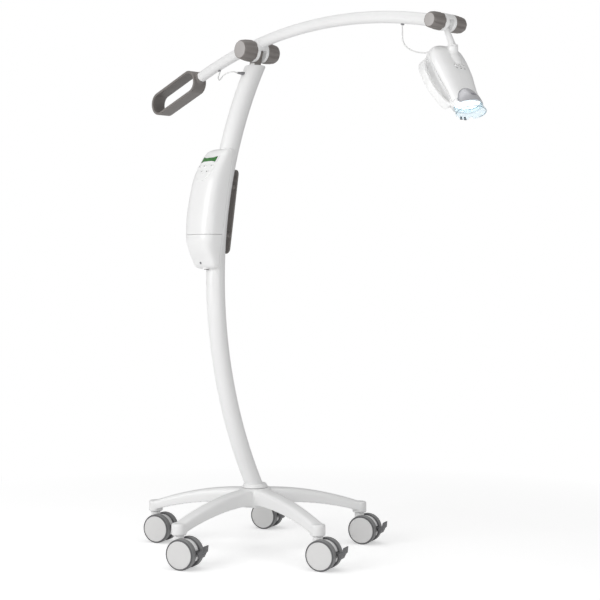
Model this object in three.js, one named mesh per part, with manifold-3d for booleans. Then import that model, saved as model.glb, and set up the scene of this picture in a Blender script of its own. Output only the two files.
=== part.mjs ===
// A wheeled floor lamp for whitening teeth. A five-legged base on twin-wheel casters carries a bowed
// column with a control box. A boom with a grip loop tilts and swivels on the column, and a lamp head
// with two side grips hangs from its front end. Millimetres, +Z up. The model is laid out round the
// upright hub axis and then moved so that its origin lies on the floor under the middle of its box.
import * as THREE from "three";
import { mergeVertices } from "three/addons/utils/BufferGeometryUtils.js";
import Module from "manifold-3d";

// Fits shared by many pieces
const touchGap = 0.3;
const cutOverrun = 2;
const joinDepth = 1;
const mergeDistance = 0.001;

// Base star
const legCount = 5;
const legFirstAngle = 64;
const legReach = 285;
const legRootReach = 24;
const legRootTop = 158;
const legEndTop = 109;
const legRootDepth = 42;
const legEndDepth = 25;
const legRootHalfWidth = 26;
const legEndHalfWidth = 18.5;
const legWall = 4;
const legRibThickness = 3;
const socketRadius = 18.5;
const socketDrop = 4;
const ribPlaceShare = 0.52;
const hubBottomRadius = 46;
const hubTopRadius = 40;
const hubBottomHeight = 112;
const hubTopHeight = 159;
const hubEdge = 4;
const hubPocketRadius = 34;
const hubPocketDepth = 14;
const hubBossRadius = 23;
const collarFootRadius = 33;
const collarTopRadius = 29;
const collarHeight = 9;
const collarEdge = 1.5;

// Casters
const wheelRadius = 37.5;
const wheelWidth = 21;
const wheelGap = 18;
const wheelRound = 4;
const capRadius = 27;
const capGroove = 2;
const capDome = 1.5;
const axleRadius = 4;
const axleClearance = 0.4;
const casterTrail = 16;
const casterTrailAngle = 23;
const hoodThickness = 16;
const hoodRadius = 34.5;
const hoodBackFlat = 29;
const hoodSkirt = 9;
const kingpinRadius = 12.5;
const kingpinGap = 1;
const stemRadius = 5.5;
const stemClearance = 0.7;
const stemLength = 15;
const pedalPivotOut = 24;
const pedalPivotUp = 4;
const pedalBossRadius = 7.5;
const pedalBossWidth = 14;
const pedalClearance = 0.5;
const pedalArmHalf = 3;
const pedalReach = 57;
const pedalTabStart = 41.5;
const pedalTabWidth = 27;
const pedalTabDrop = 12;
const pedalTipRise = 22;
const pedalMouthDown = -44;
const pedalMouthUp = 29;

// Column
const columnFootHeight = 160.3;
const columnTopHeight = 1246;
const columnArcRadius = 1199;
const columnFootRadius = 22;
const columnTopRadius = 25;
const columnWall = 2.2;
const columnPlugHeight = 22;
const spigotRadius = 17;
const spigotLength = 28;
const boltHeadRadius = 11;
const boltHeadHeight = 7;
const boltRadius = 5;
const boltReach = 18;

// Column head: bush, yoke and knobs
const tiltAxisRise = 38;
const tiltAxisSet = 9;
const tiltRange = [-35, 40];
const bushRim = 2;
const bushRimStep = 1.5;
const bushDepth = 12;
const yokeSpigotRadius = 9;
const yokeSpigotLength = 22;
const yokeNeckRadius = 12.5;
const yokeHalfThickness = 9;
const yokeHubRadius = 13;
const yokePinClearance = 0.4;
const boomPinRadius = 6;
const drumRadius = 28;
const drumHalfWidth = 18.5;
const drumInnerRadius = 13.6;
const drumSlotHalf = 9.3;
const drumEdge = 2.5;
const knobLobeCount = 8;
const knobLobeDepth = 1.3;
const knobRootRadius = 27.2;
const knobFaceRadius = 22.2;
const knobLength = 40;
const knobEdge = 2.5;
const knobBoreDepth = 15;

// Boom
const boomRadius = 14;
const boomWall = 2;
const boomCrownRise = 37.6;
const boomCrownReach = 244;
const boomArcRadius = 1510;
const boomRearEnd = -226;
const castingRear = -42;
const castingFront = 42;
const castingSpigot = 16;
const grommetRadius = 4.2;
const grommetHeight = 3.4;
const grommetRoot = 3;
const frontGrommetSet = 128;
const rearGrommetReach = -152;

// Grip loop at the rear end of the boom
const loopLength = 206;
const loopDepth = 63;
const loopWidth = 42;
const loopBand = 7;
const loopEdge = 3;
const loopBossRadius = 16;
const loopBossLength = 11;
const loopPlugLength = 22;

// Head joint
const headPivotReach = 655;
const headTiltRange = [-55, 40];
const tipRadius = 19.5;
const tipHalfWidth = 17.5;
const tipInnerRadius = 9.4;
const tipSlotHalf = 7.6;
const tipEdge = 2;
const tipSpigotLength = 20;
const headPinRadius = 4;
const headKnobRootRadius = 19.2;
const headKnobFaceRadius = 15.4;
const headKnobLength = 36;
const neckEyeRadius = 8.8;
const neckEyeHalf = 7.2;
const neckTopRadius = 6.2;
const neckFootRadius = 8.5;
const neckTopSet = 1;
const headSwivelSet = 21;
const neckFlangeRadius = 11.5;
const neckFlangeHeight = 4;
const neckStubRadius = 5;
const neckStubLength = 14;
const collarSeatRadius = 11.5;
const collarSeatDrop = 56.1;
const collarSeatHeight = 30;

// Lamp head, laid out from the middle of its light opening: x towards its front, z back along its axis
const headSet = 66;
const headDrop = 136.5;
const headTilt = -30;
const headWall = 2.4;
const headHalfWidth = 50;
const headFront = 25;
const headBack = 40;
const headLength = 158;
const headSeam = -4;
const headRimLength = 11;
const nozzleHalfWidth = 44;
const nozzleHalfDepth = 25;
const gripReach = 75;
const gripCentre = -20;
const gripHeight = 18;
const gripBand = 8.5;
const gripEdge = 3;
const visorHeight = 37;
const visorBulge = 4.5;
const visorRiseShare = 1.3;
const lensSet = 9;
const lensThickness = 3;
const guardDepth = 16;
const guardWall = 2;
const guardFlare = 2.5;
const guardSeat = 6;
const guardNotchHalf = 7;
const guardNotchDepth = 4;
const ledBoardThickness = 4;
const ledBoardSet = 24;
const ledRadius = 5;
const ledHeight = 4;
const headButtonRadius = 3;
const headButtonSpacing = 12.5;
const headButtonSet = 93;
const headButtonStand = 1;

// Control box on the column
const boxTopDrop = 220;
const boxHeight = 303;
const boxSeamRise = 85;
const boxHalfWidth = 54;
const boxFrontDepth = 75;
const boxBackDepth = 15;
const boxTrayDepth = 23;
const boxWall = 2.6;
const saddleHalfWidth = 31;
const saddleThickness = 4;
const panelDrop = 53;
const panelSpan = 22;
const plateHalfWidth = 33;
const plateTop = 14;
const plateBottom = -35;
const plateThickness = 1.3;
const lcdHalfWidth = 31.5;
const lcdHalfHeight = 11.5;
const lcdMiddle = 28;
const lcdFrameThickness = 1.8;
const lcdGlassThickness = 1;
const lcdFrame = 4;
const panelButtonRadius = 4.2;
const panelButtonStand = 1.6;
const panelButtonRoot = 7;
const buttonClearance = 0.6;
const coverScrewRadius = 3.4;
const coverScrewRise = 15;
const coverScrewStand = 0.8;
const inletRadius = 5.5;
const inletBore = 3.2;
const inletPin = 1;
const inletStand = 2;
const inletRoot = 12;
const inletDepth = 9;

// Cord cleat behind the column
const cleatRise = 44;
const cleatSpan = 215;
const cleatHalfWidth = 13;
const cleatThickness = 4;
const cleatBehind = 38;
const cleatPostRadius = 6.5;
const cleatPostSet = 46;

// Leads
const leadRadius = 1.6;
const leadSides = 8;
const glandRadius = 4.4;
const glandTipRadius = 2.6;
const glandLength = 20;
const glandDrop = 21;

const wasm = await Module();
wasm.setup();

const looks = {
  paint: { color: 0xf1f1f0, roughness: 0.35, metalness: 0 },
  shell: { color: 0xf4f4f3, roughness: 0.3, metalness: 0 },
  grip: { color: 0x77726f, roughness: 0.55, metalness: 0 },
  tyre: { color: 0x6f7072, roughness: 0.6, metalness: 0 },
  pedal: { color: 0x4a4b4d, roughness: 0.55, metalness: 0 },
  metal: { color: 0xb9bcc0, roughness: 0.25, metalness: 1 },
  silver: { color: 0xa6a9af, roughness: 0.3, metalness: 0.6 },
  clear: { color: 0xdfeaf2, roughness: 0.05, metalness: 0 },
  display: { color: 0x3f8f3a, roughness: 0.2, metalness: 0 },
  keys: { color: 0x8a8c90, roughness: 0.5, metalness: 0 },
  lead: { color: 0xe3e3e2, roughness: 0.5, metalness: 0 },
  dark: { color: 0x2a2b2d, roughness: 0.5, metalness: 0 },
};

const radians = THREE.MathUtils.degToRad;
const quarter = Math.PI / 2;
const lamp = new THREE.Group();

function move(x, y, z) {
  return new THREE.Matrix4().makeTranslation(x, y, z);
}

function turn(x, y, z) {
  return new THREE.Matrix4().makeRotationFromEuler(new THREE.Euler(x, y, z));
}

function chain(...steps) {
  return steps.reduce((all, step) => all.multiply(step), new THREE.Matrix4());
}

// A closed mesh as a solid, with its shared corners merged and its faces turned outwards.
function solid(geometry, placing = new THREE.Matrix4()) {
  const bare = new THREE.BufferGeometry();
  bare.setAttribute("position", geometry.getAttribute("position").clone());
  if (geometry.index) bare.setIndex(geometry.index.clone());
  bare.applyMatrix4(placing);
  const merged = mergeVertices(bare, mergeDistance);
  const corners = merged.index.array;
  const faces = [];
  for (let i = 0; i < corners.length; i += 3) {
    const face = [corners[i], corners[i + 1], corners[i + 2]];
    if (new Set(face).size === 3) faces.push(face);
  }
  const close = (list) =>
    new wasm.Manifold(
      new wasm.Mesh({
        numProp: 3,
        vertProperties: merged.attributes.position.array,
        triVerts: new Uint32Array(list.flat()),
      }),
    );
  const made = close(faces);
  return made.volume() < 0 ? close(faces.map(([a, b, c]) => [a, c, b])) : made;
}

function geometryOf(made) {
  const mesh = made.getMesh();
  const positions = [];
  for (let i = 0; i < mesh.numVert; i += 1)
    positions.push(...mesh.vertProperties.subarray(i * mesh.numProp, i * mesh.numProp + 3));
  const geometry = new THREE.BufferGeometry();
  geometry.setAttribute("position", new THREE.BufferAttribute(new Float32Array(positions), 3));
  geometry.setIndex(new THREE.BufferAttribute(new Uint32Array(mesh.triVerts), 1));
  geometry.computeVertexNormals();
  return geometry;
}

function place(group, name, made, look) {
  const mesh = new THREE.Mesh(geometryOf(made), new THREE.MeshStandardMaterial(looks[look]));
  mesh.name = name;
  group.add(mesh);
}

// An upright round rod, or a cone when its two ends differ.
function rod(radius, bottom, top, sides, topRadius = radius) {
  const geometry = new THREE.CylinderGeometry(topRadius, radius, top - bottom, sides);
  geometry.rotateX(quarter);
  geometry.translate(0, 0, (bottom + top) / 2);
  return geometry;
}

// A block between two opposite corners.
function block(low, high) {
  const size = high.map((value, axis) => value - low[axis]);
  const geometry = new THREE.BoxGeometry(...size);
  geometry.translate(...high.map((value, axis) => (value + low[axis]) / 2));
  return geometry;
}

// A profile of radius and height turned round the upright axis.
function revolve(profile, sides) {
  const geometry = new THREE.LatheGeometry(
    profile.map(([radius, height]) => new THREE.Vector2(radius, height)),
    sides,
  );
  geometry.rotateX(quarter);
  return geometry;
}

// An outline in x and y with a thickness centred on z = 0.
function plate(outline, thickness, holes = []) {
  const asPath = (points) => points.map(([x, y]) => new THREE.Vector2(x, y));
  const shape = new THREE.Shape(asPath(outline));
  shape.holes = holes.map((hole) => new THREE.Path(asPath(hole)));
  const geometry = new THREE.ExtrudeGeometry(shape, { depth: thickness, bevelEnabled: false });
  geometry.translate(0, 0, -thickness / 2);
  return geometry;
}

// An outline whose edges are rounded over on both faces.
function softPlate(outline, thickness, edge, holes = []) {
  const asPath = (points) => points.map(([x, y]) => new THREE.Vector2(x, y));
  const shape = new THREE.Shape(asPath(outline));
  shape.holes = holes.map((hole) => new THREE.Path(asPath(hole)));
  const geometry = new THREE.ExtrudeGeometry(shape, {
    depth: thickness - 2 * edge,
    bevelThickness: edge,
    bevelSize: edge,
    bevelOffset: -edge,
    bevelSegments: 1,
  });
  geometry.translate(0, 0, edge - thickness / 2);
  return geometry;
}

// Rings of equal count joined into a skin and closed at both ends.
function loft(rings) {
  const sides = rings[0].length;
  const points = rings.flat();
  const faces = [];
  for (let ring = 0; ring + 1 < rings.length; ring += 1)
    for (let side = 0; side < sides; side += 1) {
      const a = ring * sides + side;
      const b = ring * sides + ((side + 1) % sides);
      faces.push(a, b, a + sides, b, b + sides, a + sides);
    }
  const middle = (ring) =>
    ring.reduce((sum, point) => sum.add(point), new THREE.Vector3()).divideScalar(sides);
  const last = (rings.length - 1) * sides;
  points.push(middle(rings[0]), middle(rings.at(-1)));
  for (let side = 0; side < sides; side += 1) {
    const next = (side + 1) % sides;
    faces.push(points.length - 2, next, side);
    faces.push(points.length - 1, last + side, last + next);
  }
  const geometry = new THREE.BufferGeometry().setFromPoints(points);
  geometry.setIndex(faces);
  return geometry;
}

// A round section swept along points, as loft rings square to the path.
function roundRings(stations, sides) {
  return stations.map(({ at, along, across, radius }) => {
    const up = new THREE.Vector3().crossVectors(along, across).normalize();
    return Array.from({ length: sides }, (_, side) => {
      const angle = (2 * Math.PI * side) / sides;
      return at
        .clone()
        .addScaledVector(across, radius * Math.cos(angle))
        .addScaledVector(up, radius * Math.sin(angle));
    });
  });
}

function arc(radius, from, to, steps, centre = [0, 0]) {
  return Array.from({ length: steps + 1 }, (_, step) => {
    const angle = radians(from + ((to - from) * step) / steps);
    return [centre[0] + radius * Math.cos(angle), centre[1] + radius * Math.sin(angle)];
  });
}

function stadium(length, width, steps) {
  const reach = (length - width) / 2;
  return [
    ...arc(width / 2, -90, 90, steps, [reach, 0]),
    ...arc(width / 2, 90, 270, steps, [-reach, 0]),
  ];
}

const standUp = turn(quarter, 0, 0);
const layAcross = turn(-quarter, 0, 0);

// Column path
const columnHalfChord = (columnTopHeight - columnFootHeight) / 2;
const columnArcCentreHeight = columnFootHeight + columnHalfChord;
const columnArcCentreSet = Math.sqrt(columnArcRadius ** 2 - columnHalfChord ** 2);

function columnSet(height) {
  return columnArcCentreSet - Math.sqrt(columnArcRadius ** 2 - (height - columnArcCentreHeight) ** 2);
}

const columnBottomReach = columnFootHeight - columnFootRadius;
const columnTopReach = columnTopHeight + columnTopRadius;
const columnChords = 12;
const tiltAxisHeight = columnTopHeight + tiltAxisRise;

// A place on the chords of an arc, so that pieces on the same arc share its facets
function onChord(value, low, high, chords, pointAt) {
  const size = (high - low) / chords;
  const start = low + size * Math.floor((value - low) / size);
  return pointAt(start).lerp(pointAt(start + size), (value - start) / size);
}

function chordStops(from, to, low, high, chords) {
  const size = (high - low) / chords;
  const inner = Array.from({ length: chords + 1 }, (_, n) => low + size * n).filter(
    (stop) => stop > from + size / chords && stop < to - size / chords,
  );
  return [from, ...inner, to];
}

function columnStation(height, extra = 0) {
  const rise = (height - columnArcCentreHeight) / columnArcRadius;
  const share = (height - columnFootHeight) / (columnTopHeight - columnFootHeight);
  const radius = columnFootRadius + (columnTopRadius - columnFootRadius) * share + extra;
  return {
    at: onChord(
      height,
      columnBottomReach,
      columnTopReach,
      columnChords,
      (stop) => new THREE.Vector3(0, columnSet(stop), stop),
    ),
    along: new THREE.Vector3(0, rise, Math.sqrt(1 - rise ** 2)),
    across: new THREE.Vector3(1, 0, 0),
    radius,
  };
}

function columnRod(from, to, extra, sides) {
  const stops = chordStops(from, to, columnBottomReach, columnTopReach, columnChords);
  return solid(loft(roundRings(stops.map((stop) => columnStation(stop, extra)), sides)));
}

// Base star: five channel legs on a hub, each with a socket for its caster's stem
const legSectionShares = [
  [1, 0],
  [1, 0.55],
  [0.88, 0.86],
  [0.45, 1],
];

function legRing(reach, inset, drop) {
  const share = (reach - legRootReach) / (legReach - legRootReach);
  const top = legRootTop - (legRootTop - legEndTop) * share ** 1.9 - inset;
  const depth = legRootDepth - (legRootDepth - legEndDepth) * share ** 0.8 + drop - inset;
  const flare = (legRootHalfWidth - legEndHalfWidth) * (1 - share) ** 2;
  const half = legEndHalfWidth + flare + (drop ? -inset : 0);
  const side = legSectionShares.map(([across, up]) => [half * across, top - depth * (1 - up)]);
  const ring = [...side, ...side.map(([across, up]) => [-across, up]).reverse()];
  return ring.map(([across, up]) => new THREE.Vector3(reach, across, up));
}

function legSolid(from, to, steps, inset, drop) {
  const rings = Array.from({ length: steps + 1 }, (_, step) =>
    legRing(from + ((to - from) * step) / steps, inset, drop),
  );
  return solid(loft(rings));
}

const socketBottom = legEndTop - legEndDepth - socketDrop;
const socketTop = legEndTop - 2 * touchGap;
const stemTop = socketBottom - kingpinGap + stemLength;
let leg = legSolid(legRootReach, legReach, 4, 0, 0);
const channelStart = hubBottomRadius + legWall;
const channelEnd = legReach - socketRadius - legWall;
leg = leg.subtract(legSolid(channelStart, channelEnd, 2, legWall, legWall));
const ribReach = channelStart + (channelEnd - channelStart) * ribPlaceShare;
const ribTop = legRing(ribReach, legWall / 2, 0)[3].z;
const ribBottom = legRing(ribReach, 0, 0)[0].z;
leg = leg.add(
  solid(
    block(
      [ribReach - legRibThickness / 2, legWall / 2 - legEndHalfWidth, ribBottom],
      [ribReach + legRibThickness / 2, legEndHalfWidth - legWall / 2, ribTop],
    ),
  ),
);
leg = leg.add(solid(rod(socketRadius, socketBottom, socketTop, 10), move(legReach, 0, 0)));

const hubProfile = [
  [0, hubBottomHeight],
  [hubBottomRadius, hubBottomHeight],
  [hubTopRadius + hubEdge / 2, hubTopHeight - hubEdge],
  [hubTopRadius - hubEdge / 2, hubTopHeight],
  [0, hubTopHeight],
];
let star = solid(revolve(hubProfile, 16));
for (let n = 0; n < legCount; n += 1) {
  const angle = radians(legFirstAngle + (360 / legCount) * n);
  star = star.add(leg.transform(turn(0, 0, angle).elements));
}
const pocket = solid(
  rod(hubPocketRadius, hubBottomHeight - cutOverrun, hubBottomHeight + hubPocketDepth, 12),
).subtract(
  solid(rod(hubBossRadius, hubBottomHeight - 2 * cutOverrun, hubTopHeight, 12)),
);
const spigotBottom = columnFootHeight - spigotLength;
const boltShelf = hubBottomHeight + boltHeadHeight + touchGap;
star = star
  .subtract(pocket)
  .subtract(
    solid(rod(spigotRadius + touchGap, spigotBottom - touchGap, hubTopHeight + cutOverrun, 14)),
  )
  .subtract(solid(rod(boltRadius + touchGap, hubBottomHeight - cutOverrun, hubTopHeight, 10)))
  .subtract(solid(rod(boltHeadRadius + touchGap, hubBottomHeight - cutOverrun, boltShelf, 6)));
for (let n = 0; n < legCount; n += 1) {
  const angle = radians(legFirstAngle + (360 / legCount) * n);
  const bore = rod(stemRadius + stemClearance, socketBottom - cutOverrun, stemTop + touchGap, 8);
  star = star.subtract(
    solid(bore, move(legReach * Math.cos(angle), legReach * Math.sin(angle), 0)),
  );
}
place(lamp, "base_star", star, "paint");

// Column with its foot plug and spigot, the collar round it and the bolt that holds it
const columnSpan = solid(
  block(
    [-boxHalfWidth, -columnArcRadius, columnFootHeight],
    [boxHalfWidth, columnArcRadius, columnTopHeight],
  ),
);
const columnOuter = columnRod(columnBottomReach, columnTopReach, 0, 16);
const columnPlugTop = columnFootHeight + columnPlugHeight;
let column = columnOuter.subtract(
  columnRod(columnPlugTop, columnTopReach, -columnWall, 10),
);
column = column.intersect(columnSpan);
column = column.add(
  solid(rod(spigotRadius, spigotBottom, columnFootHeight + touchGap, 14)),
);
column = column.subtract(
  solid(rod(boltRadius + touchGap, spigotBottom - cutOverrun, spigotBottom + boltReach, 10)),
);

const collarProfile = [
  [0, columnFootHeight - touchGap],
  [collarFootRadius, columnFootHeight - touchGap],
  [collarFootRadius, columnFootHeight + collarEdge],
  [collarTopRadius + collarEdge, columnFootHeight + collarHeight - collarEdge],
  [collarTopRadius, columnFootHeight + collarHeight],
  [0, columnFootHeight + collarHeight],
];
const collarHole = columnRod(columnBottomReach, columnPlugTop + columnPlugHeight, touchGap, 16);
const collar = solid(revolve(collarProfile, 20))
  .subtract(collarHole)
  .subtract(solid(rod(spigotRadius + touchGap, hubBottomHeight, columnFootHeight, 14)));
place(lamp, "hub_collar", collar, "paint");

const bolt = solid(rod(boltHeadRadius, hubBottomHeight, hubBottomHeight + boltHeadHeight, 6)).add(
  solid(rod(boltRadius, hubBottomHeight + joinDepth, spigotBottom + boltReach - touchGap, 14)),
);
place(lamp, "column_bolt", bolt, "metal");

// Casters: hood with kingpin and stem, a pair of wheels on one axle, and a brake pedal
const wheelOuter = wheelGap / 2 + wheelWidth;
const wheelHalf = [
  [0, wheelOuter],
  [capRadius, wheelOuter - capDome],
  [capRadius + capGroove, wheelOuter - capDome - capGroove],
  [wheelRadius - capGroove, wheelOuter - capGroove],
  [wheelRadius, wheelOuter - wheelRound - capGroove],
  [wheelRadius, wheelGap / 2 + wheelRound],
  [wheelRadius - wheelRound, wheelGap / 2],
  [axleRadius, wheelGap / 2],
];
const wheelProfile = [
  ...wheelHalf,
  ...wheelHalf.map(([radius, height]) => [radius, -height]).reverse(),
];
const wheels = solid(revolve(wheelProfile, 14), layAcross);

const hoodOutline = [
  ...arc(hoodRadius, -28, 150, 8),
  [-hoodBackFlat, hoodSkirt],
  [-hoodBackFlat, 0],
  [-hoodSkirt, -hoodSkirt],
];
const kingpinHeight = socketBottom - kingpinGap - wheelRadius;
let hood = solid(plate(hoodOutline, hoodThickness), standUp);
hood = hood
  .add(solid(rod(kingpinRadius, 0, kingpinHeight, 10), move(-casterTrail, 0, 0)))
  .add(
    solid(
      rod(stemRadius, kingpinHeight - joinDepth, kingpinHeight + stemLength, 8),
      move(-casterTrail, 0, 0),
    ),
  );
const hoodReach = 2 * wheelRadius;
const hoodSlab = solid(
  block([-hoodReach, -hoodThickness / 2, -hoodReach], [hoodReach, hoodThickness / 2, hoodReach]),
);
const wheelClear = wheelRadius + pedalClearance + kingpinGap;
const kingpinZone = solid(rod(wheelClear, -wheelOuter, wheelOuter, 20), layAcross);
hood = hood.subtract(kingpinZone.subtract(hoodSlab));
const mouth = [
  [0, 0],
  ...arc(hoodRadius, pedalMouthDown, pedalMouthUp, 3),
];
const pedalPivot = move(pedalPivotOut, 0, pedalPivotUp);
hood = hood
  .subtract(solid(rod(axleRadius + axleClearance, -hoodThickness, hoodThickness, 10), layAcross))
  .subtract(
    solid(
      rod(pedalBossRadius + pedalClearance, -hoodThickness, hoodThickness, 12),
      chain(pedalPivot, layAcross),
    ),
  )
  .subtract(solid(plate(mouth, 2 * hoodThickness), chain(pedalPivot, standUp)));

const pedalOutOf = pedalReach - pedalPivotOut;
const tabStart = pedalTabStart - pedalPivotOut;
const pedalArm = [
  [0, -pedalArmHalf],
  [pedalOutOf - pedalArmHalf, -pedalArmHalf],
  [pedalOutOf - pedalArmHalf, pedalArmHalf],
  [0, pedalArmHalf],
];
const pedalTab = [
  [tabStart + pedalArmHalf, -pedalTabDrop],
  [tabStart + 2 * pedalArmHalf, -pedalTabDrop],
  [pedalOutOf, pedalArmHalf],
  [pedalOutOf + pedalArmHalf / 2, pedalTipRise - pedalPivotUp],
  [pedalOutOf - pedalArmHalf / 2, pedalTipRise - pedalPivotUp],
  [tabStart + pedalArmHalf, pedalArmHalf],
  [tabStart, 0],
];
const pedal = solid(rod(pedalBossRadius, -pedalBossWidth / 2, pedalBossWidth / 2, 10), layAcross)
  .add(solid(plate(pedalArm, pedalBossWidth), standUp))
  .add(solid(plate(pedalTab, pedalTabWidth), standUp));

for (let n = 0; n < legCount; n += 1) {
  const angle = radians(legFirstAngle + (360 / legCount) * n);
  const trail = radians(casterTrailAngle);
  const caster = new THREE.Group();
  caster.position.set(
    legReach * Math.cos(angle) + casterTrail * Math.cos(trail),
    legReach * Math.sin(angle) + casterTrail * Math.sin(trail),
    wheelRadius,
  );
  caster.rotation.z = trail;
  const pedalSeat = new THREE.Group();
  pedalSeat.position.set(pedalPivotOut, 0, pedalPivotUp);
  place(caster, `caster_${n + 1}_hood`, hood, "shell");
  place(caster, `caster_${n + 1}_wheels`, wheels, "tyre");
  place(pedalSeat, `caster_${n + 1}_pedal`, pedal, "pedal");
  caster.add(pedalSeat);
  lamp.add(caster);
}

// Column top: a bush in the tube, the yoke that turns in it and the gland of the column lead
const rimBottom = columnTopHeight + touchGap;
const rimTop = rimBottom + bushRim;
const slabBetween = (bottom, top) =>
  solid(block([-boxHalfWidth, -boxHalfWidth, bottom], [boxHalfWidth, boxHalfWidth, top]));
const bushPlug = columnRod(columnTopHeight - 2 * bushDepth, columnTopReach, -columnWall - touchGap, 10);
const bushRimDisc = columnRod(columnTopHeight - bushDepth, columnTopReach, -bushRimStep, 16);
const bush = bushPlug
  .intersect(slabBetween(columnTopHeight - bushDepth, rimTop))
  .add(bushRimDisc.intersect(slabBetween(rimBottom, rimTop)))
  .subtract(
    solid(
      rod(yokeSpigotRadius + touchGap, columnTopHeight - 2 * bushDepth, columnTopReach, 16),
    ),
  );
place(lamp, "column_top_bush", bush, "shell");

const yokeNeckBottom = rimTop + touchGap;
const yokeNeckTop = tiltAxisHeight - drumRadius - 2 * touchGap;
const tongueOutline = [
  [-yokeNeckRadius - tiltAxisSet, yokeNeckBottom - tiltAxisHeight],
  [yokeNeckRadius - tiltAxisSet, yokeNeckBottom - tiltAxisHeight],
  ...arc(yokeHubRadius, 0, 180, 10),
];
const tiltAxis = move(tiltAxisSet, 0, tiltAxisHeight);
const yoke = solid(plate(tongueOutline, 2 * yokeHalfThickness), chain(tiltAxis, standUp))
  .intersect(
    solid(rod(yokeHubRadius, yokeNeckBottom, tiltAxisHeight + drumRadius, 20)).add(
      solid(rod(drumRadius, yokeNeckTop - touchGap, tiltAxisHeight + drumRadius, 20)),
    ),
  )
  .add(solid(rod(yokeNeckRadius, yokeNeckBottom, yokeNeckTop, 20)))
  .add(solid(rod(yokeSpigotRadius, columnTopHeight - yokeSpigotLength, yokeNeckBottom + joinDepth, 14)))
  .subtract(
    solid(
      rod(boomPinRadius + yokePinClearance, -drumRadius, drumRadius, 14),
      chain(tiltAxis, layAcross),
    ),
  );
place(lamp, "swivel_yoke", yoke, "grip");

const glandHeight = columnTopHeight - glandDrop;
const glandStation = columnStation(glandHeight);
const glandSeat = chain(
  move(0, glandStation.at.y - glandStation.radius / glandStation.along.z, glandHeight),
  turn(quarter, 0, 0),
);
const glandProfile = [
  [0, -glandRadius],
  [glandRadius, -glandRadius],
  [glandRadius, glandRadius + columnWall],
  [glandTipRadius, glandLength],
  [0, glandLength],
];
const gland = solid(revolve(glandProfile, 12), glandSeat)
  .subtract(columnRod(glandHeight - columnTopRadius, columnTopHeight, touchGap, 16))
  .add(solid(rod(glandTipRadius, -3 * columnWall, glandRadius, 14), glandSeat));
column = column.subtract(
  solid(rod(glandTipRadius + touchGap, -4 * columnWall, 2 * columnWall, 14), glandSeat),
);
place(lamp, "column_gland", gland, "lead");

// Boom path: one flat arc over the column, in the plane of the hub axis
const boomChords = 10;
const boomCrownHeight = tiltAxisHeight + boomCrownRise;
const frontGrommetReach = headPivotReach - frontGrommetSet;

function boomStation(reach, radius) {
  const drop = (reach - boomCrownReach) / boomArcRadius;
  const rise = Math.sqrt(1 - drop ** 2);
  const onArc = (stop) => {
    const away = stop - boomCrownReach;
    const height = Math.sqrt(boomArcRadius ** 2 - away ** 2) - boomArcRadius;
    return new THREE.Vector3(stop, 0, boomCrownHeight + height);
  };
  return {
    at: onChord(reach, boomRearEnd, headPivotReach, boomChords, onArc),
    along: new THREE.Vector3(rise, 0, -drop),
    across: new THREE.Vector3(0, 1, 0),
    radius,
  };
}

function boomRod(from, to, radius, sides) {
  const stops = chordStops(from, to, boomRearEnd, headPivotReach, boomChords);
  return solid(loft(roundRings(stops.map((stop) => boomStation(stop, radius)), sides)));
}

function boomTube(from, to) {
  const bore = boomRadius - boomWall;
  return boomRod(from, to, boomRadius, 14).subtract(
    boomRod(from - cutOverrun, to + cutOverrun, bore, 8),
  );
}

function boomSlope(reach) {
  return Math.asin((reach - boomCrownReach) / boomArcRadius);
}

const plugRadius = boomRadius - boomWall - 2 * touchGap;
const tipStart = headPivotReach - tipRadius - tipSpigotLength / 2;
let frontTube = boomTube(castingFront + touchGap, tipStart - touchGap);
let rearTube = boomTube(boomRearEnd, castingRear - touchGap);

// Grommets where the two leads leave the boom
const grommetProfile = [
  [leadRadius + touchGap, -boomWall - touchGap],
  [grommetRoot, -boomWall - touchGap],
  [grommetRoot, touchGap],
  [grommetRadius, touchGap],
  [grommetRadius, grommetHeight / 2],
  [grommetRoot, grommetHeight],
  [leadRadius + touchGap, grommetHeight],
  [leadRadius + touchGap, -boomWall - touchGap],
];
function grommetSeat(reach) {
  const { at, along } = boomStation(reach, boomRadius);
  const outward = new THREE.Vector3(along.z, 0, -along.x);
  return chain(
    move(...at.addScaledVector(outward, boomRadius).toArray()),
    turn(0, boomSlope(reach) + Math.PI, 0),
  );
}
const grommet = revolve(grommetProfile, 8);
const grommetHole = rod(grommetRoot + touchGap, -boomRadius, boomRadius, 8);
frontTube = frontTube.subtract(
  solid(grommetHole, grommetSeat(frontGrommetReach)).subtract(
    boomRod(castingFront, tipStart, boomRadius - 2 * boomWall, 8),
  ),
);
rearTube = rearTube.subtract(
  solid(grommetHole, grommetSeat(rearGrommetReach)).subtract(
    boomRod(boomRearEnd, castingRear, boomRadius - 2 * boomWall, 8),
  ),
);
place(lamp, "boom_front_tube", frontTube, "paint");
place(lamp, "boom_rear_tube", rearTube, "paint");
place(lamp, "grommet_front", solid(grommet, grommetSeat(frontGrommetReach)), "lead");
place(lamp, "grommet_rear", solid(grommet, grommetSeat(rearGrommetReach)), "lead");

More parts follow.
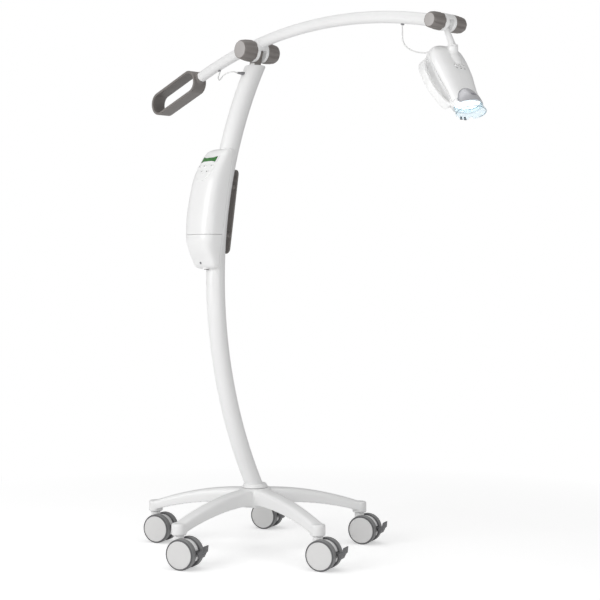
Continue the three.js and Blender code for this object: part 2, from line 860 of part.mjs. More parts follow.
// A round casting on a cross axis: cheeks on both sides of a slot that takes a tongue from below
function clevis(radius, halfWidth, edge, innerRadius, slotHalf, pinBore, placing, tongue) {
  const profile = [
    [0, -halfWidth],
    [radius - edge, -halfWidth],
    [radius, edge - halfWidth],
    [radius, halfWidth - edge],
    [radius - edge, halfWidth],
    [0, halfWidth],
  ];
  const reach = 2 * radius;
  const slot = radius + touchGap;
  let cut = solid(rod(innerRadius, -slotHalf, slotHalf, 20), chain(placing, layAcross))
    .add(solid(block([-slot, -slotHalf, -reach], [slot, slotHalf, 0]), placing))
    .add(solid(rod(pinBore, -reach, reach, 10), chain(placing, layAcross)));
  // The tongue's own room at both ends of its swing
  for (const limit of tongue.range)
    cut = cut.add(
      solid(
        block([tongue.rear, -slotHalf, -radius], [tongue.front, slotHalf, 0]),
        chain(placing, turn(0, radians(limit), 0)),
      ),
    );
  return { body: solid(revolve(profile, 24), chain(placing, layAcross)), cut };
}

const boomClevis = clevis(
  drumRadius,
  drumHalfWidth,
  drumEdge,
  drumInnerRadius,
  drumSlotHalf,
  boomPinRadius + yokePinClearance,
  tiltAxis,
  {
    rear: -yokeNeckRadius - tiltAxisSet,
    front: yokeNeckRadius + 2 * touchGap,
    range: tiltRange,
  },
);
const boomHub = boomClevis.body
  .add(boomRod(castingRear, castingFront, boomRadius, 14))
  .add(boomRod(castingRear - castingSpigot, castingFront + castingSpigot, plugRadius, 8))
  .subtract(boomClevis.cut);
place(lamp, "boom_hub", boomHub, "paint");

// Clamping knobs: lobed cones; the left one of each pair carries the pin
function knob(rootRadius, faceRadius, length, pinRadius, pinReach, boreRadius) {
  const points = 3 * knobLobeCount;
  const ring = (height, radius, lobe) =>
    Array.from({ length: points }, (_, n) => {
      const angle = (2 * Math.PI * n) / points;
      const wave = lobe * knobLobeDepth * Math.cos(knobLobeCount * angle);
      return new THREE.Vector3(
        (radius + wave) * Math.cos(angle),
        (radius + wave) * Math.sin(angle),
        height,
      );
    });
  const body = solid(
    loft([
      ring(0, rootRadius - knobEdge / 2, 0.5),
      ring(knobEdge / 2, rootRadius, 1),
      ring(length - knobEdge, faceRadius + knobEdge / 4, 1),
      ring(length, faceRadius - knobEdge, 0),
    ]),
  );
  return pinReach
    ? body.add(solid(rod(pinRadius, -pinReach, knobEdge, 14)))
    : body.subtract(solid(rod(boreRadius, -cutOverrun, knobBoreDepth, 14)));
}

function placeKnobs(names, height, reach, sizes) {
  const { halfWidth, root, face, length, pin } = sizes;
  const seat = halfWidth + touchGap;
  const pinReach = 2 * seat + knobBoreDepth - joinDepth;
  const sides = [
    { name: names[0], turnSide: quarter, side: -1, made: knob(root, face, length, pin, pinReach, 0) },
    {
      name: names[1],
      turnSide: -quarter,
      side: 1,
      made: knob(root, face, length, 0, 0, pin + yokePinClearance),
    },
  ];
  for (const { name, turnSide, side, made } of sides) {
    const group = new THREE.Group();
    group.position.set(reach, side * seat, height);
    group.rotation.x = turnSide;
    place(group, name, made, "grip");
    lamp.add(group);
  }
}

placeKnobs(["boom_knob_left", "boom_knob_right"], tiltAxisHeight, tiltAxisSet, {
  halfWidth: drumHalfWidth,
  root: knobRootRadius,
  face: knobFaceRadius,
  length: knobLength,
  pin: boomPinRadius,
});

// Grip loop: a stadium band on a boss with a plug in the tube's rear end
const loopGroup = new THREE.Group();
loopGroup.position.copy(boomStation(boomRearEnd, boomRadius).at);
loopGroup.rotation.y = boomSlope(boomRearEnd);
const loopCentre = -loopBossLength - loopLength / 2 + loopBand / 2;
const loopOuter = stadium(loopLength, loopDepth, 8);
const loopInner = stadium(loopLength - 2 * loopBand, loopDepth - 2 * loopBand, 8);
const loopBore = solid(plate(loopInner, 2 * loopWidth), chain(move(loopCentre, 0, 0), standUp));
const loop = solid(softPlate(loopOuter, loopWidth, loopEdge), chain(move(loopCentre, 0, 0), standUp))
  .add(
    solid(
      rod(loopBossRadius, touchGap, loopBossLength + loopDepth / 4, 20, loopBossRadius),
      turn(0, -quarter, 0),
    ),
  )
  .subtract(loopBore)
  .add(solid(rod(plugRadius - 2 * touchGap, -loopPlugLength, loopBand / 2, 8), turn(0, -quarter, 0)));
place(loopGroup, "handle_loop", loop, "grip");
lamp.add(loopGroup);

// Boom tip with the head's tilt joint, its knobs and the neck
const headPivot = boomStation(headPivotReach, boomRadius).at;
const headPivotHeight = headPivot.z;
const headAxis = move(headPivotReach, 0, headPivotHeight);
const tipClevis = clevis(
  tipRadius,
  tipHalfWidth,
  tipEdge,
  tipInnerRadius,
  tipSlotHalf,
  headPinRadius + yokePinClearance,
  headAxis,
  {
    rear: -neckEyeRadius - touchGap,
    front: neckFootRadius + headSwivelSet / 4,
    range: headTiltRange,
  },
);
const boomTip = tipClevis.body
  .add(boomRod(tipStart, headPivotReach, boomRadius, 14))
  .add(boomRod(tipStart - tipSpigotLength, tipStart + boomWall, plugRadius, 8))
  .subtract(tipClevis.cut);
place(lamp, "boom_tip", boomTip, "paint");
placeKnobs(["head_knob_left", "head_knob_right"], headPivotHeight, headPivotReach, {
  halfWidth: tipHalfWidth,
  root: headKnobRootRadius,
  face: headKnobFaceRadius,
  length: headKnobLength,
  pin: headPinRadius,
});

const headSwivelReach = headPivotReach + headSwivelSet;
const collarSeatTop = headPivotHeight - collarSeatDrop;
const headReach = headPivotReach + headSet;
const headHeight = collarSeatTop - headDrop;
const flangeBottom = collarSeatTop + touchGap;
const flangeTop = flangeBottom + neckFlangeHeight;
const neckRing = (x, height, radius) =>
  Array.from({ length: 14 }, (_, n) => {
    const angle = (2 * Math.PI * n) / 14;
    return new THREE.Vector3(x + radius * Math.cos(angle), radius * Math.sin(angle), height);
  });
const neckStub = move(headSwivelReach, 0, 0);
const neckCone = solid(
  loft([
    neckRing(headPivotReach - neckTopSet / 2, headPivotHeight, neckTopRadius - 2 * touchGap),
    neckRing(headPivotReach - neckTopSet, headPivotHeight - neckEyeRadius, neckTopRadius - touchGap),
    neckRing(headSwivelReach, flangeBottom + joinDepth, neckFootRadius),
  ]),
);
const neck = neckCone
  .add(solid(rod(neckEyeRadius, -neckEyeHalf, neckEyeHalf, 16), chain(headAxis, layAcross)))
  .intersect(
    solid(
      block(
        [headPivotReach - tipRadius, -neckFootRadius, flangeBottom],
        [headSwivelReach + tipRadius, neckFootRadius, headPivotHeight + neckEyeRadius],
      ),
    ),
  )
  .add(solid(rod(neckFlangeRadius, flangeBottom, flangeTop, 18), neckStub))
  .add(solid(rod(neckStubRadius, flangeBottom - neckStubLength, flangeTop, 12), neckStub))
  .subtract(
    solid(
      rod(headPinRadius + yokePinClearance, -tipRadius, tipRadius, 18),
      chain(headAxis, layAcross),
    ),
  );
place(lamp, "neck", neck, "paint");

// Lamp head
const head = new THREE.Group();
head.position.set(headReach, 0, headHeight);
head.rotation.y = radians(headTilt);
const headBodyShares = [
  [0, 0.88, 0.98, 0.64],
  [0.05, 0.88, 0.88, 0.67],
  [0.2, 0.87, 0.72, 0.73],
  [0.35, 0.92, 0.84, 0.84],
  [0.5, 0.98, 0.97, 0.94],
  [0.7, 1, 1, 1],
  [0.84, 0.96, 0.93, 0.97],
  [0.93, 0.82, 0.75, 0.83],
  [0.98, 0.62, 0.5, 0.6],
  [1, 0.4, 0.26, 0.34],
];
const roundShare = 0.8;

function between(table, at, column) {
  const next = Math.min(table.length - 1, Math.max(1, table.findIndex((row) => row[0] >= at)));
  const [low, high] = [table[next - 1], table[next]];
  const share = (at - low[0]) / (high[0] - low[0]);
  return low[column] + (high[column] - low[column]) * share;
}

// An oval ring square to z with its own front and back depths
function ovalRing(height, halfWidth, front, back, power, count) {
  return Array.from({ length: count }, (_, n) => {
    const angle = (2 * Math.PI * n) / count;
    const bend = (value) => Math.sign(value) * Math.abs(value) ** power;
    const depth = Math.cos(angle) > 0 ? front : back;
    return new THREE.Vector3(
      depth * bend(Math.cos(angle)),
      halfWidth * bend(Math.sin(angle)),
      height,
    );
  });
}

const headBody = solid(
  loft(
    headBodyShares.map(([along, wide, front, back]) =>
      ovalRing(
        headLength * along,
        headHalfWidth * wide,
        headFront * front,
        headBack * back,
        roundShare,
        16,
      ),
    ),
  ),
);
const cavityDepth = ledBoardSet + ledBoardThickness + touchGap;
const cavityNarrow = 0.14;
function cavityHalf(height) {
  return (nozzleHalfWidth - headWall) * (1 - (cavityNarrow * height) / cavityDepth);
}
function cavityFront(height) {
  return (nozzleHalfDepth - headWall) * (1 - (cavityNarrow * height) / cavityDepth);
}
function cavityRing(height, inset) {
  const depth = cavityFront(height) - inset;
  return ovalRing(height, cavityHalf(height) - inset, depth, depth, 1, 16);
}
const cavity = solid(loft([cavityRing(-headRimLength, 0), cavityRing(cavityDepth, 0)]));
const faceWise = turn(0, quarter, 0);
function archPrism(extra) {
  const arch = rod(1, 0, 1, 16);
  arch.scale(visorHeight + extra, nozzleHalfWidth - headWall + extra, headFront + headBack);
  return solid(arch, faceWise);
}
const headSpan = 2 * headLength;
const frontSide = (set) =>
  solid(block([set, -headSpan, -headSpan], [headSpan, headSpan, headSpan]));
const coverZone = (extra) =>
  solid(
    block([headSeam - extra, -headSpan, headRimLength - extra], [headSpan, headSpan, headSpan]),
  );
const coverBody = headBody
  .intersect(coverZone(0))
  .subtract(archPrism(0))
  .subtract(cavity);

const collarSeatPlace = chain(
  turn(0, -radians(headTilt), 0),
  move(headSwivelReach - headReach, 0, collarSeatTop - headHeight),
);
const coverSeat = rod(collarSeatRadius, -collarSeatHeight, 0, 16);
const stubBore = rod(neckStubRadius + touchGap, -neckStubLength - touchGap, cutOverrun, 12);
let headCover = coverBody
  .add(solid(coverSeat, collarSeatPlace))
  .subtract(solid(stubBore, collarSeatPlace));

// Side grips, swept along a path of share of reach and share of length
const gripPathShares = [
  [0.5, 0.84],
  [0.76, 0.81],
  [0.93, 0.73],
  [1, 0.6],
  [1, 0.44],
  [0.92, 0.28],
  [0.78, 0.15],
  [0.58, 0.06],
];
function gripSolid(side) {
  const reach = gripReach - gripBand / 2;
  const path = gripPathShares.map(([out, along]) => [side * reach * out, headLength * along]);
  const rings = path.map(([y, z], n) => {
    const before = path[Math.max(0, n - 1)];
    const after = path[Math.min(path.length - 1, n + 1)];
    const length = Math.hypot(after[0] - before[0], after[1] - before[1]);
    const across = [(after[1] - before[1]) / length, -(after[0] - before[0]) / length];
    const halfBand = gripBand / 2;
    const halfHeight = gripHeight / 2;
    const corners = [
      [halfBand, halfHeight - gripEdge],
      [halfBand - gripEdge, halfHeight],
      [gripEdge - halfBand, halfHeight],
      [-halfBand, halfHeight - gripEdge],
      [-halfBand, gripEdge - halfHeight],
      [gripEdge - halfBand, -halfHeight],
      [halfBand - gripEdge, -halfHeight],
      [halfBand, gripEdge - halfHeight],
    ];
    return corners.map(
      ([out, up]) => new THREE.Vector3(gripCentre + up, y + across[0] * out, z + across[1] * out),
    );
  });
  return solid(loft(rings));
}
let headFrame = headBody
  .subtract(coverZone(touchGap))
  .add(gripSolid(1))
  .add(gripSolid(-1))
  .subtract(cavity)
  .subtract(archPrism(touchGap).intersect(frontSide(headSeam - touchGap)));

// Visor: a half dome over the front of the light opening
const visorReach = headFront + visorBulge / 2;
const visorBand = Array.from({ length: 5 }, (_, n) => {
  const rise = (quarter * n) / 5;
  const full = visorHeight * visorRiseShare;
  return ovalRing(
    full * Math.sin(rise),
    (nozzleHalfWidth - headWall / 2) * Math.cos(rise),
    visorReach * Math.cos(rise),
    visorReach * Math.cos(rise),
    1,
    18,
  );
});
const visor = solid(loft(visorBand))
  .intersect(archPrism(-touchGap))
  .intersect(frontSide(headSeam))
  .subtract(
    solid(loft([cavityRing(-headRimLength, -touchGap), cavityRing(cavityDepth, -touchGap)])),
  );

// Light opening: lens, light module and clear guard
const lens = solid(
  loft([cavityRing(lensSet, touchGap), cavityRing(lensSet + lensThickness, touchGap)]),
);
let ledModule = solid(
  loft([
    cavityRing(ledBoardSet, 2 * touchGap),
    cavityRing(ledBoardSet + ledBoardThickness - touchGap, 2 * touchGap),
  ]),
);
const ledPlaceShares = [-0.5, 0, 0.5];
for (const wide of ledPlaceShares)
  for (const side of [-1, 1]) {
    const led = rod(ledRadius, ledBoardSet + touchGap, ledBoardSet - ledHeight, 6, ledRadius / 2);
    ledModule = ledModule.add(
      solid(led, move((side * cavityFront(0)) / 3, wide * cavityHalf(0), 0)),
    );
  }
function guardRing(height, extra) {
  const depth = cavityFront(0) + extra;
  return ovalRing(height, cavityHalf(0) + extra, depth, depth, 1, 16);
}
const guardTable = [
  [guardSeat, 0],
  [-touchGap, 0],
  [-2 * headWall, headWall],
  [-guardDepth, headWall + guardFlare],
];
const seatInset = cavityHalf(0) - cavityHalf(guardSeat) + touchGap;
function guardLoft(inset, overrun) {
  return solid(
    loft(
      guardTable.map(([height, flare], n) => {
        const reach = n === 0 ? overrun : n === guardTable.length - 1 ? -overrun : 0;
        return guardRing(height + reach, flare - seatInset - inset);
      }),
    ),
  );
}
let guard = guardLoft(0, 0).subtract(guardLoft(guardWall, cutOverrun));
for (const side of [-1, 1])
  guard = guard.subtract(
    solid(
      block(
        [-headSpan, -guardNotchHalf, -guardDepth - cutOverrun],
        [0, guardNotchHalf, guardNotchDepth - guardDepth],
      ),
      move(0, (side * nozzleHalfWidth) / 2, 0),
    ),
  );

// Buttons on the head's front, in holes of their own
const buttonTop = headFront * between(headBodyShares, headButtonSet / headLength, 2);
const headButtons = [];
for (const row of [-1, 0, 1]) {
  const seat = chain(move(0, row * headButtonSpacing, headButtonSet), faceWise);
  const floor = buttonTop - panelButtonRoot;
  headCover = headCover.subtract(
    solid(rod(headButtonRadius + buttonClearance, floor - panelButtonStand, headSpan, 10), seat),
  );
  headButtons.push(solid(rod(headButtonRadius, floor, buttonTop + headButtonStand, 10), seat));
}
place(head, "head_frame", headFrame, "shell");
place(head, "head_cover", headCover, "shell");
place(head, "visor_ring", visor, "silver");
place(head, "aperture_lens", lens, "clear");
place(head, "led_module", ledModule, "silver");
place(head, "guard_lip", guard, "clear");
headButtons.forEach((made, n) => place(head, `head_button_${n + 1}`, made, "keys"));
lamp.add(head);

// Control box: its sections follow the column, whose front half lies in a groove of its back
const boxShares = [
  [0, 0.7, 0.5],
  [0.023, 0.78, 0.58],
  [0.073, 0.82, 0.68],
  [0.142, 0.85, 0.84],
  [0.254, 0.93, 0.98],
  [0.442, 1, 1],
  [0.726, 0.985, 0.947],
  [0.924, 0.89, 0.7],
  [0.974, 0.8, 0.6],
  [1, 0.68, 0.5],
];
const boxSideShares = [
  [1, 0],
  [0.98, 0.5],
  [0.85, 0.8],
  [0.57, 0.95],
  [0.2, 1],
];

const boxTop = columnTopHeight - boxTopDrop;
const boxBottom = boxTop - boxHeight;
const boxSeam = boxBottom + boxSeamRise;
const panelHeight = boxTop - panelDrop;
const coverScrewHeight = boxBottom + coverScrewRise;

function boxFront(height) {
  return boxFrontDepth * between(boxShares, (height - boxBottom) / (boxTop - boxBottom), 2);
}

function boxRing(height, half, from, to) {
  const side = boxSideShares.map(([wide, deep]) => [half * wide, from + (to - from) * deep]);
  const ring = [...side, ...side.map(([x, depth]) => [-x, depth]).reverse()];
  return ring.map(([x, depth]) => new THREE.Vector3(x, columnSet(height) - depth, height));
}

function boxLoft(extra) {
  return solid(
    loft(
      boxShares.map(([up, wide, deep], n) => {
        const cap = n === 0 ? -extra : n === boxShares.length - 1 ? extra : 0;
        const height = boxBottom + (boxTop - boxBottom) * up;
        return boxRing(
          height + cap,
          boxHalfWidth * wide + extra,
          boxBackDepth + 2 * Math.min(0, extra),
          boxFrontDepth * deep + extra,
        );
      }),
    ),
  );
}

// An upright slab that follows the column between two depths
function columnSlab(half, from, to, bottom, top, steps) {
  const rings = Array.from({ length: steps + 1 }, (_, step) => {
    const height = bottom + ((top - bottom) * step) / steps;
    const front = columnSet(height) - to;
    const back = columnSet(height) - from;
    return [
      new THREE.Vector3(half, back, height),
      new THREE.Vector3(half, front, height),
      new THREE.Vector3(-half, front, height),
      new THREE.Vector3(-half, back, height),
    ];
  });
  return solid(loft(rings));
}

const boxOuter = boxLoft(0);
const boxHollow = boxLoft(-boxWall);
const groove = columnRod(boxBottom - boxWall, boxTop + boxWall, touchGap, 16);
const trayLow = boxBottom - 2 * boxWall;
const trayHigh = boxTop + 2 * boxWall;
const boxReach = 2 * boxHalfWidth;
const tray = columnSlab(boxReach, -boxReach, boxTrayDepth, trayLow, trayHigh, 4);
const trayClear = columnSlab(boxReach, -boxReach, boxTrayDepth + touchGap, trayLow, trayHigh, 4);
const saddleFront = columnStation(boxTop).radius + touchGap + saddleThickness;
const saddleLow = boxBottom + 3 * boxWall;
const saddleHigh = boxTop - 3 * boxWall;
const backShell = boxOuter
  .intersect(tray)
  .add(columnSlab(saddleHalfWidth, boxTrayDepth - joinDepth, saddleFront, saddleLow, saddleHigh, 4))
  .subtract(groove);
const frontShell = boxOuter.subtract(trayClear).subtract(boxHollow).subtract(groove);
const seamSlab = (bottom, top) =>
  solid(block([-boxReach, -columnArcRadius, bottom], [boxReach, 0, top]));
let frontCover = frontShell.intersect(seamSlab(boxSeam + touchGap / 2, trayHigh));
let lowerCover = frontShell.intersect(seamSlab(trayLow, boxSeam - touchGap / 2));

// Panel on the upper front: shield-shaped key plate, display in its frame, five buttons
function coverFace(height) {
  return columnSet(height) - boxFront(height);
}
const lean = Math.atan2(
  coverFace(panelHeight + panelSpan) - coverFace(panelHeight - panelSpan),
  2 * panelSpan,
);
const panelRight = new THREE.Vector3(1, 0, 0);
const panelUp = new THREE.Vector3(0, Math.sin(lean), Math.cos(lean));
const panelOut = new THREE.Vector3(0, -Math.cos(lean), Math.sin(lean));
const panelOrigin = new THREE.Vector3(
  0,
  columnSet(panelHeight) - boxFront(panelHeight),
  panelHeight,
);
const panelPlace = new THREE.Matrix4()
  .makeBasis(panelRight, panelUp, panelOut)
  .setPosition(panelOrigin);

// The depth of the cover's skin below the panel's plane at a place on the panel
function panelSkin(x, up) {
  const point = panelOrigin.clone().addScaledVector(panelRight, x).addScaledVector(panelUp, up);
  let out = 0;
  for (let n = 0; n < 6; n += 1) {
    const height = point.z + out * panelOut.z;
    const share = (height - boxBottom) / (boxTop - boxBottom);
    const wide = Math.abs(x) / (boxHalfWidth * between(boxShares, share, 1));
    const table = [...boxSideShares].reverse();
    const deep = wide < table[0][0] ? 1 : between(table, wide, 1);
    const depth = boxBackDepth + (boxFront(height) - boxBackDepth) * deep;
    const gap = point.y + out * panelOut.y - (columnSet(height) - depth);
    out += gap * Math.cos(lean);
  }
  return out;
}

const panelReach = boxFrontDepth / 2;
const plateShares = [
  [-1, 1],
  [1, 1],
  [1, 0.1],
  [0.9, -0.4],
  [0.62, -0.78],
  [0.25, -0.97],
  [-0.25, -0.97],
  [-0.62, -0.78],
  [-0.9, -0.4],
  [-1, 0.1],
];
const plateOutline = plateShares.map(([x, up]) => [
  x * plateHalfWidth,
  up > 0 ? up * plateTop : -up * plateBottom,
]);
function frameOutline(inset) {
  const half = lcdHalfWidth - inset;
  const rise = lcdHalfHeight - inset;
  const corner = Math.min(half, rise) / 3;
  return [
    ...arc(corner, -90, 0, 2, [half - corner, lcdMiddle - rise + corner]),
    ...arc(corner, 0, 90, 2, [half - corner, lcdMiddle + rise - corner]),
    ...arc(corner, 90, 180, 2, [corner - half, lcdMiddle + rise - corner]),
    ...arc(corner, 180, 270, 2, [corner - half, lcdMiddle - rise + corner]),
  ];
}
const skinGap = boxLoft(touchGap);
const onSkin = (outline, thickness) =>
  solid(plate(outline, 2 * panelReach), panelPlace)
    .intersect(boxLoft(touchGap + thickness))
    .subtract(skinGap);
let keyPlate = onSkin(plateOutline, plateThickness);
const lcdOpening = solid(plate(frameOutline(lcdFrame), 4 * panelReach), panelPlace);
const lcdFramePiece = onSkin(frameOutline(0), lcdFrameThickness).subtract(lcdOpening);
const lcdWindow = onSkin(frameOutline(lcdFrame + touchGap), lcdGlassThickness);

const panelButtonShares = [
  [-0.68, 0.5],
  [-0.1, 0.5],
  [0.72, 0.5],
  [-0.14, -0.28],
  [0.5, -0.28],
];
panelButtonShares.forEach(([wide, up], n) => {
  const x = wide * plateHalfWidth;
  const rise = up > 0 ? up * plateTop : -up * plateBottom;
  const skin = panelSkin(x, rise) + touchGap + plateThickness;
  const seat = chain(panelPlace, move(x, rise, skin));
  const hole = solid(rod(panelButtonRadius + buttonClearance, -panelReach / 2, panelReach / 2, 8), seat);
  keyPlate = keyPlate.subtract(hole);
  frontCover = frontCover.subtract(hole);
  const cap = [
    [0, -panelButtonRoot],
    [panelButtonRadius, -panelButtonRoot],
    [panelButtonRadius, panelButtonStand / 2],
    [panelButtonRadius - panelButtonStand / 2, panelButtonStand],
    [0, panelButtonStand],
  ];
  place(lamp, `panel_button_${n + 1}`, solid(revolve(cap, 8), seat), "keys");
});

// Screw of the lower cover and the power inlet in its bottom
const screwSet = columnSet(coverScrewHeight) - boxFront(coverScrewHeight);
const screwSeat = chain(move(0, screwSet, coverScrewHeight), standUp);
lowerCover = lowerCover.subtract(
  solid(rod(coverScrewRadius + touchGap, -3 * boxWall, 3 * boxWall, 16), screwSeat),
);
const screw = solid(rod(coverScrewRadius, -2 * boxWall, coverScrewStand, 14), screwSeat).subtract(
  solid(
    block(
      [-2 * coverScrewRadius, -coverScrewStand / 2, 0],
      [2 * coverScrewRadius, coverScrewStand / 2, coverScrewStand + cutOverrun],
    ),
    screwSeat,
  ),
);
const inletRearSet = Math.min(columnSet(boxBottom), columnSet(boxBottom + inletRoot));
const inletSet = inletRearSet - columnStation(boxBottom).radius - inletRadius - 2 * touchGap;
const inletSeat = move(0, inletSet, boxBottom);
lowerCover = lowerCover.subtract(
  solid(rod(inletRadius + touchGap, -inletRoot, saddleLow - boxBottom, 18), inletSeat),
);
const inletProfile = [
  [0, inletRoot],
  [inletRadius, inletRoot],
  [inletRadius, -inletStand],
  [inletBore, -inletStand],
  [inletBore, inletDepth],
  [inletPin, inletDepth],
  [inletPin, 0],
  [0, 0],
];
const inlet = solid(revolve(inletProfile, 18), inletSeat);
const inletClear = solid(
  rod(inletRadius + touchGap, -inletRoot, inletRoot + touchGap, 18),
  inletSeat,
);
place(lamp, "box_back_shell", backShell.subtract(inletClear), "shell");
place(lamp, "box_front_cover", frontCover, "shell");
place(lamp, "box_lower_cover", lowerCover, "shell");
place(lamp, "key_plate", keyPlate, "shell");
place(lamp, "lcd_frame", lcdFramePiece, "shell");
place(lamp, "lcd_window", lcdWindow, "display");
place(lamp, "cover_screw", screw, "metal");
place(lamp, "power_inlet", inlet, "dark");

// Cord cleat: a long plate on two posts behind the column
const cleatBottom = boxBottom + cleatRise;
const cleatTop = cleatBottom + cleatSpan;
const cleatMiddle = (cleatBottom + cleatTop) / 2;
const cleatLean = Math.atan((columnSet(cleatTop) - columnSet(cleatBottom)) / (cleatTop - cleatBottom));
const cleatPlace = chain(
  move(0, columnSet(cleatMiddle), cleatMiddle),
  turn(-cleatLean, 0, 0),
  new THREE.Matrix4().makeBasis(
    new THREE.Vector3(0, 0, 1),
    new THREE.Vector3(1, 0, 0),
    new THREE.Vector3(0, 1, 0),
  ),
);
const cleatLength = (cleatTop - cleatBottom) / Math.cos(cleatLean);
let cleat = solid(
  softPlate(stadium(cleatLength, 2 * cleatHalfWidth, 6), cleatThickness, cleatThickness / 4),
  chain(cleatPlace, move(0, 0, cleatBehind)),
);
for (const end of [-1, 1])
  cleat = cleat.add(
    solid(
      rod(cleatPostRadius, 0, cleatBehind, 10),
      chain(cleatPlace, move(end * (cleatLength / 2 - cleatPostSet), 0, 0)),
    ),
  );
cleat = cleat.subtract(columnRod(cleatBottom - cleatHalfWidth, cleatTop + cleatHalfWidth, touchGap, 16));
place(lamp, "cord_cleat", cleat, "grip");
place(lamp, "column_tube", column, "paint");

// Leads, along routes chosen by hand: the head's from where it leaves the boom, the column's from the
// hub axis at the gland's height
const frontExit = boomStation(frontGrommetReach, boomRadius).at;
const rearExit = boomStation(rearGrommetReach, boomRadius).at;
const headLeadRoute = [
  [-3.4, 0, -30.8],
  [-1.6, 0, -53.8],
  [10.8, 0, -69.3],
  [32.6, 0, -81.3],
  [57.6, 0, -88.1],
  [77, 0, -88.8],
  [91, 0, -81.8],
];
const columnLeadRoute = [
  [-153, 0, 15],
  [-147, -4, 6],
  [-131, -14, 1],
  [-104, -32, -2],
  [-72, -53, -3.5],
  [-40, -72, -3],
  [-14, -79, -0.5],
  [-1, -70, 1.5],
];

function lead(start, startAway, route, datum, end, endAway) {
  const stub = 2 * leadRadius;
  const points = [
    start,
    start.clone().addScaledVector(startAway, stub),
    ...route.map((point) => new THREE.Vector3(...point).add(datum)),
    end.clone().addScaledVector(endAway, stub),
    end,
  ];
  const path = new THREE.CatmullRomCurve3(points, false, "centripetal");
  const section = new THREE.Shape(
    Array.from({ length: leadSides }, (_, n) => {
      const angle = (2 * Math.PI * n) / leadSides;
      return new THREE.Vector2(leadRadius * Math.cos(angle), leadRadius * Math.sin(angle));
    }),
  );
  const steps = Math.round(path.getLength() / (6 * leadRadius));
  return solid(
    new THREE.ExtrudeGeometry(section, { extrudePath: path, steps, bevelEnabled: false }),
  );
}
function boomDown(reach) {
  const { along } = boomStation(reach, boomRadius);
  return new THREE.Vector3(along.z, 0, -along.x);
}
const grommetReach = boomRadius + grommetHeight + touchGap;
const frontDown = boomDown(frontGrommetReach);
const rearDown = boomDown(rearGrommetReach);
const headRear = new THREE.Vector3(-headBack / 8, 0, headLength + touchGap).applyMatrix4(
  chain(move(headReach, 0, headHeight), turn(0, radians(headTilt), 0)),
);
const headRearAway = new THREE.Vector3(0, 0, 1).applyMatrix4(turn(0, radians(headTilt), 0));
place(
  lamp,
  "lead_head",
  lead(
    frontExit.clone().addScaledVector(frontDown, grommetReach),
    frontDown,
    headLeadRoute,
    frontExit,
    headRear,
    headRearAway,
  ),
  "lead",
);
const glandTip = new THREE.Vector3(0, 0, glandLength + touchGap).applyMatrix4(glandSeat);
place(
  lamp,
  "lead_column",
  lead(
    rearExit.clone().addScaledVector(rearDown, grommetReach),
    rearDown,
    columnLeadRoute,
    new THREE.Vector3(0, 0, glandHeight),
    glandTip,
    new THREE.Vector3(0, -1, 0),
  ),
  "lead",
);

// Origin on the floor under the middle of the whole box
lamp.updateMatrixWorld(true);
const bounds = new THREE.Box3().setFromObject(lamp, true);
const middle = bounds.getCenter(new THREE.Vector3());
lamp.position.set(-middle.x, -middle.y, -bounds.min.z);

export default lamp;
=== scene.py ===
import math

import bmesh
import bpy
from mathutils import Matrix, Vector
from mathutils.bvhtree import BVHTree


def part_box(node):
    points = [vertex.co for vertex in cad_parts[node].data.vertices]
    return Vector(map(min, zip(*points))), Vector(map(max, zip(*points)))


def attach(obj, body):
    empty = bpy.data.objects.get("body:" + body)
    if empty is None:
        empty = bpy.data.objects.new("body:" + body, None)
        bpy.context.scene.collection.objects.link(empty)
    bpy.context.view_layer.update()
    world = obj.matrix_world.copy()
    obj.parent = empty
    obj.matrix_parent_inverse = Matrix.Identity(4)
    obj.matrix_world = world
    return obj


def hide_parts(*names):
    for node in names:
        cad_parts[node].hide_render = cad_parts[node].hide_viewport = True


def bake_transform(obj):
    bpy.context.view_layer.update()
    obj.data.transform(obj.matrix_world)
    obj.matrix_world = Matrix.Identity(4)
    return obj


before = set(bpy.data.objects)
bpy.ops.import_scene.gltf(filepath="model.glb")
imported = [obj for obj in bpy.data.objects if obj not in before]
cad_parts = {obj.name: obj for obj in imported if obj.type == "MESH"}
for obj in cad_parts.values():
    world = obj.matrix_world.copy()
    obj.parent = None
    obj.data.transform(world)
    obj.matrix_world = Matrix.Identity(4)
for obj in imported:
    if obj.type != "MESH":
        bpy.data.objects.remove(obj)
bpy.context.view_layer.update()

# Shapes are written in millimetres from the upright hub axis, and moved to the frame in metres.
MM = 0.001
BOLT_LOW, BOLT_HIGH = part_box("column_bolt")
HUB = Vector(((BOLT_LOW[0] + BOLT_HIGH[0]) / 2, (BOLT_LOW[1] + BOLT_HIGH[1]) / 2, 0))
TO_FRAME = Matrix.Translation(HUB) @ Matrix.Scale(MM, 4)


def at(x, y, z):
    return TO_FRAME @ Vector((x, y, z))


def move(x, y, z):
    return Matrix.Translation((x, y, z))


def turn(axis, degrees):
    return Matrix.Rotation(math.radians(degrees), 4, axis)


# Camera, at the photograph's viewing angle
CAMERA_PLACE = (2544.7, -2134.5, 700)
CAMERA_YAW = 48
CAMERA_LENS = 76.92
HORIZON_SHIFT = -22 / 600
camera_data = bpy.data.cameras.new("camera")
camera_data.lens = CAMERA_LENS
camera_data.sensor_width = 36
camera_data.shift_y = HORIZON_SHIFT
camera = bpy.data.objects.new("camera", camera_data)
camera.location = at(*CAMERA_PLACE)
camera.rotation_euler = (math.radians(90), 0, math.radians(CAMERA_YAW))
bpy.context.scene.collection.objects.link(camera)
bpy.context.scene.camera = camera


# Materials
def nodes_of(name):
    made = bpy.data.materials.new(name)
    made.use_nodes = True
    return made, made.node_tree.nodes, made.node_tree.links, made.node_tree.nodes["Principled BSDF"]


def give(node, values):
    for name, value in values.items():
        node.inputs[name].default_value = value
    return node


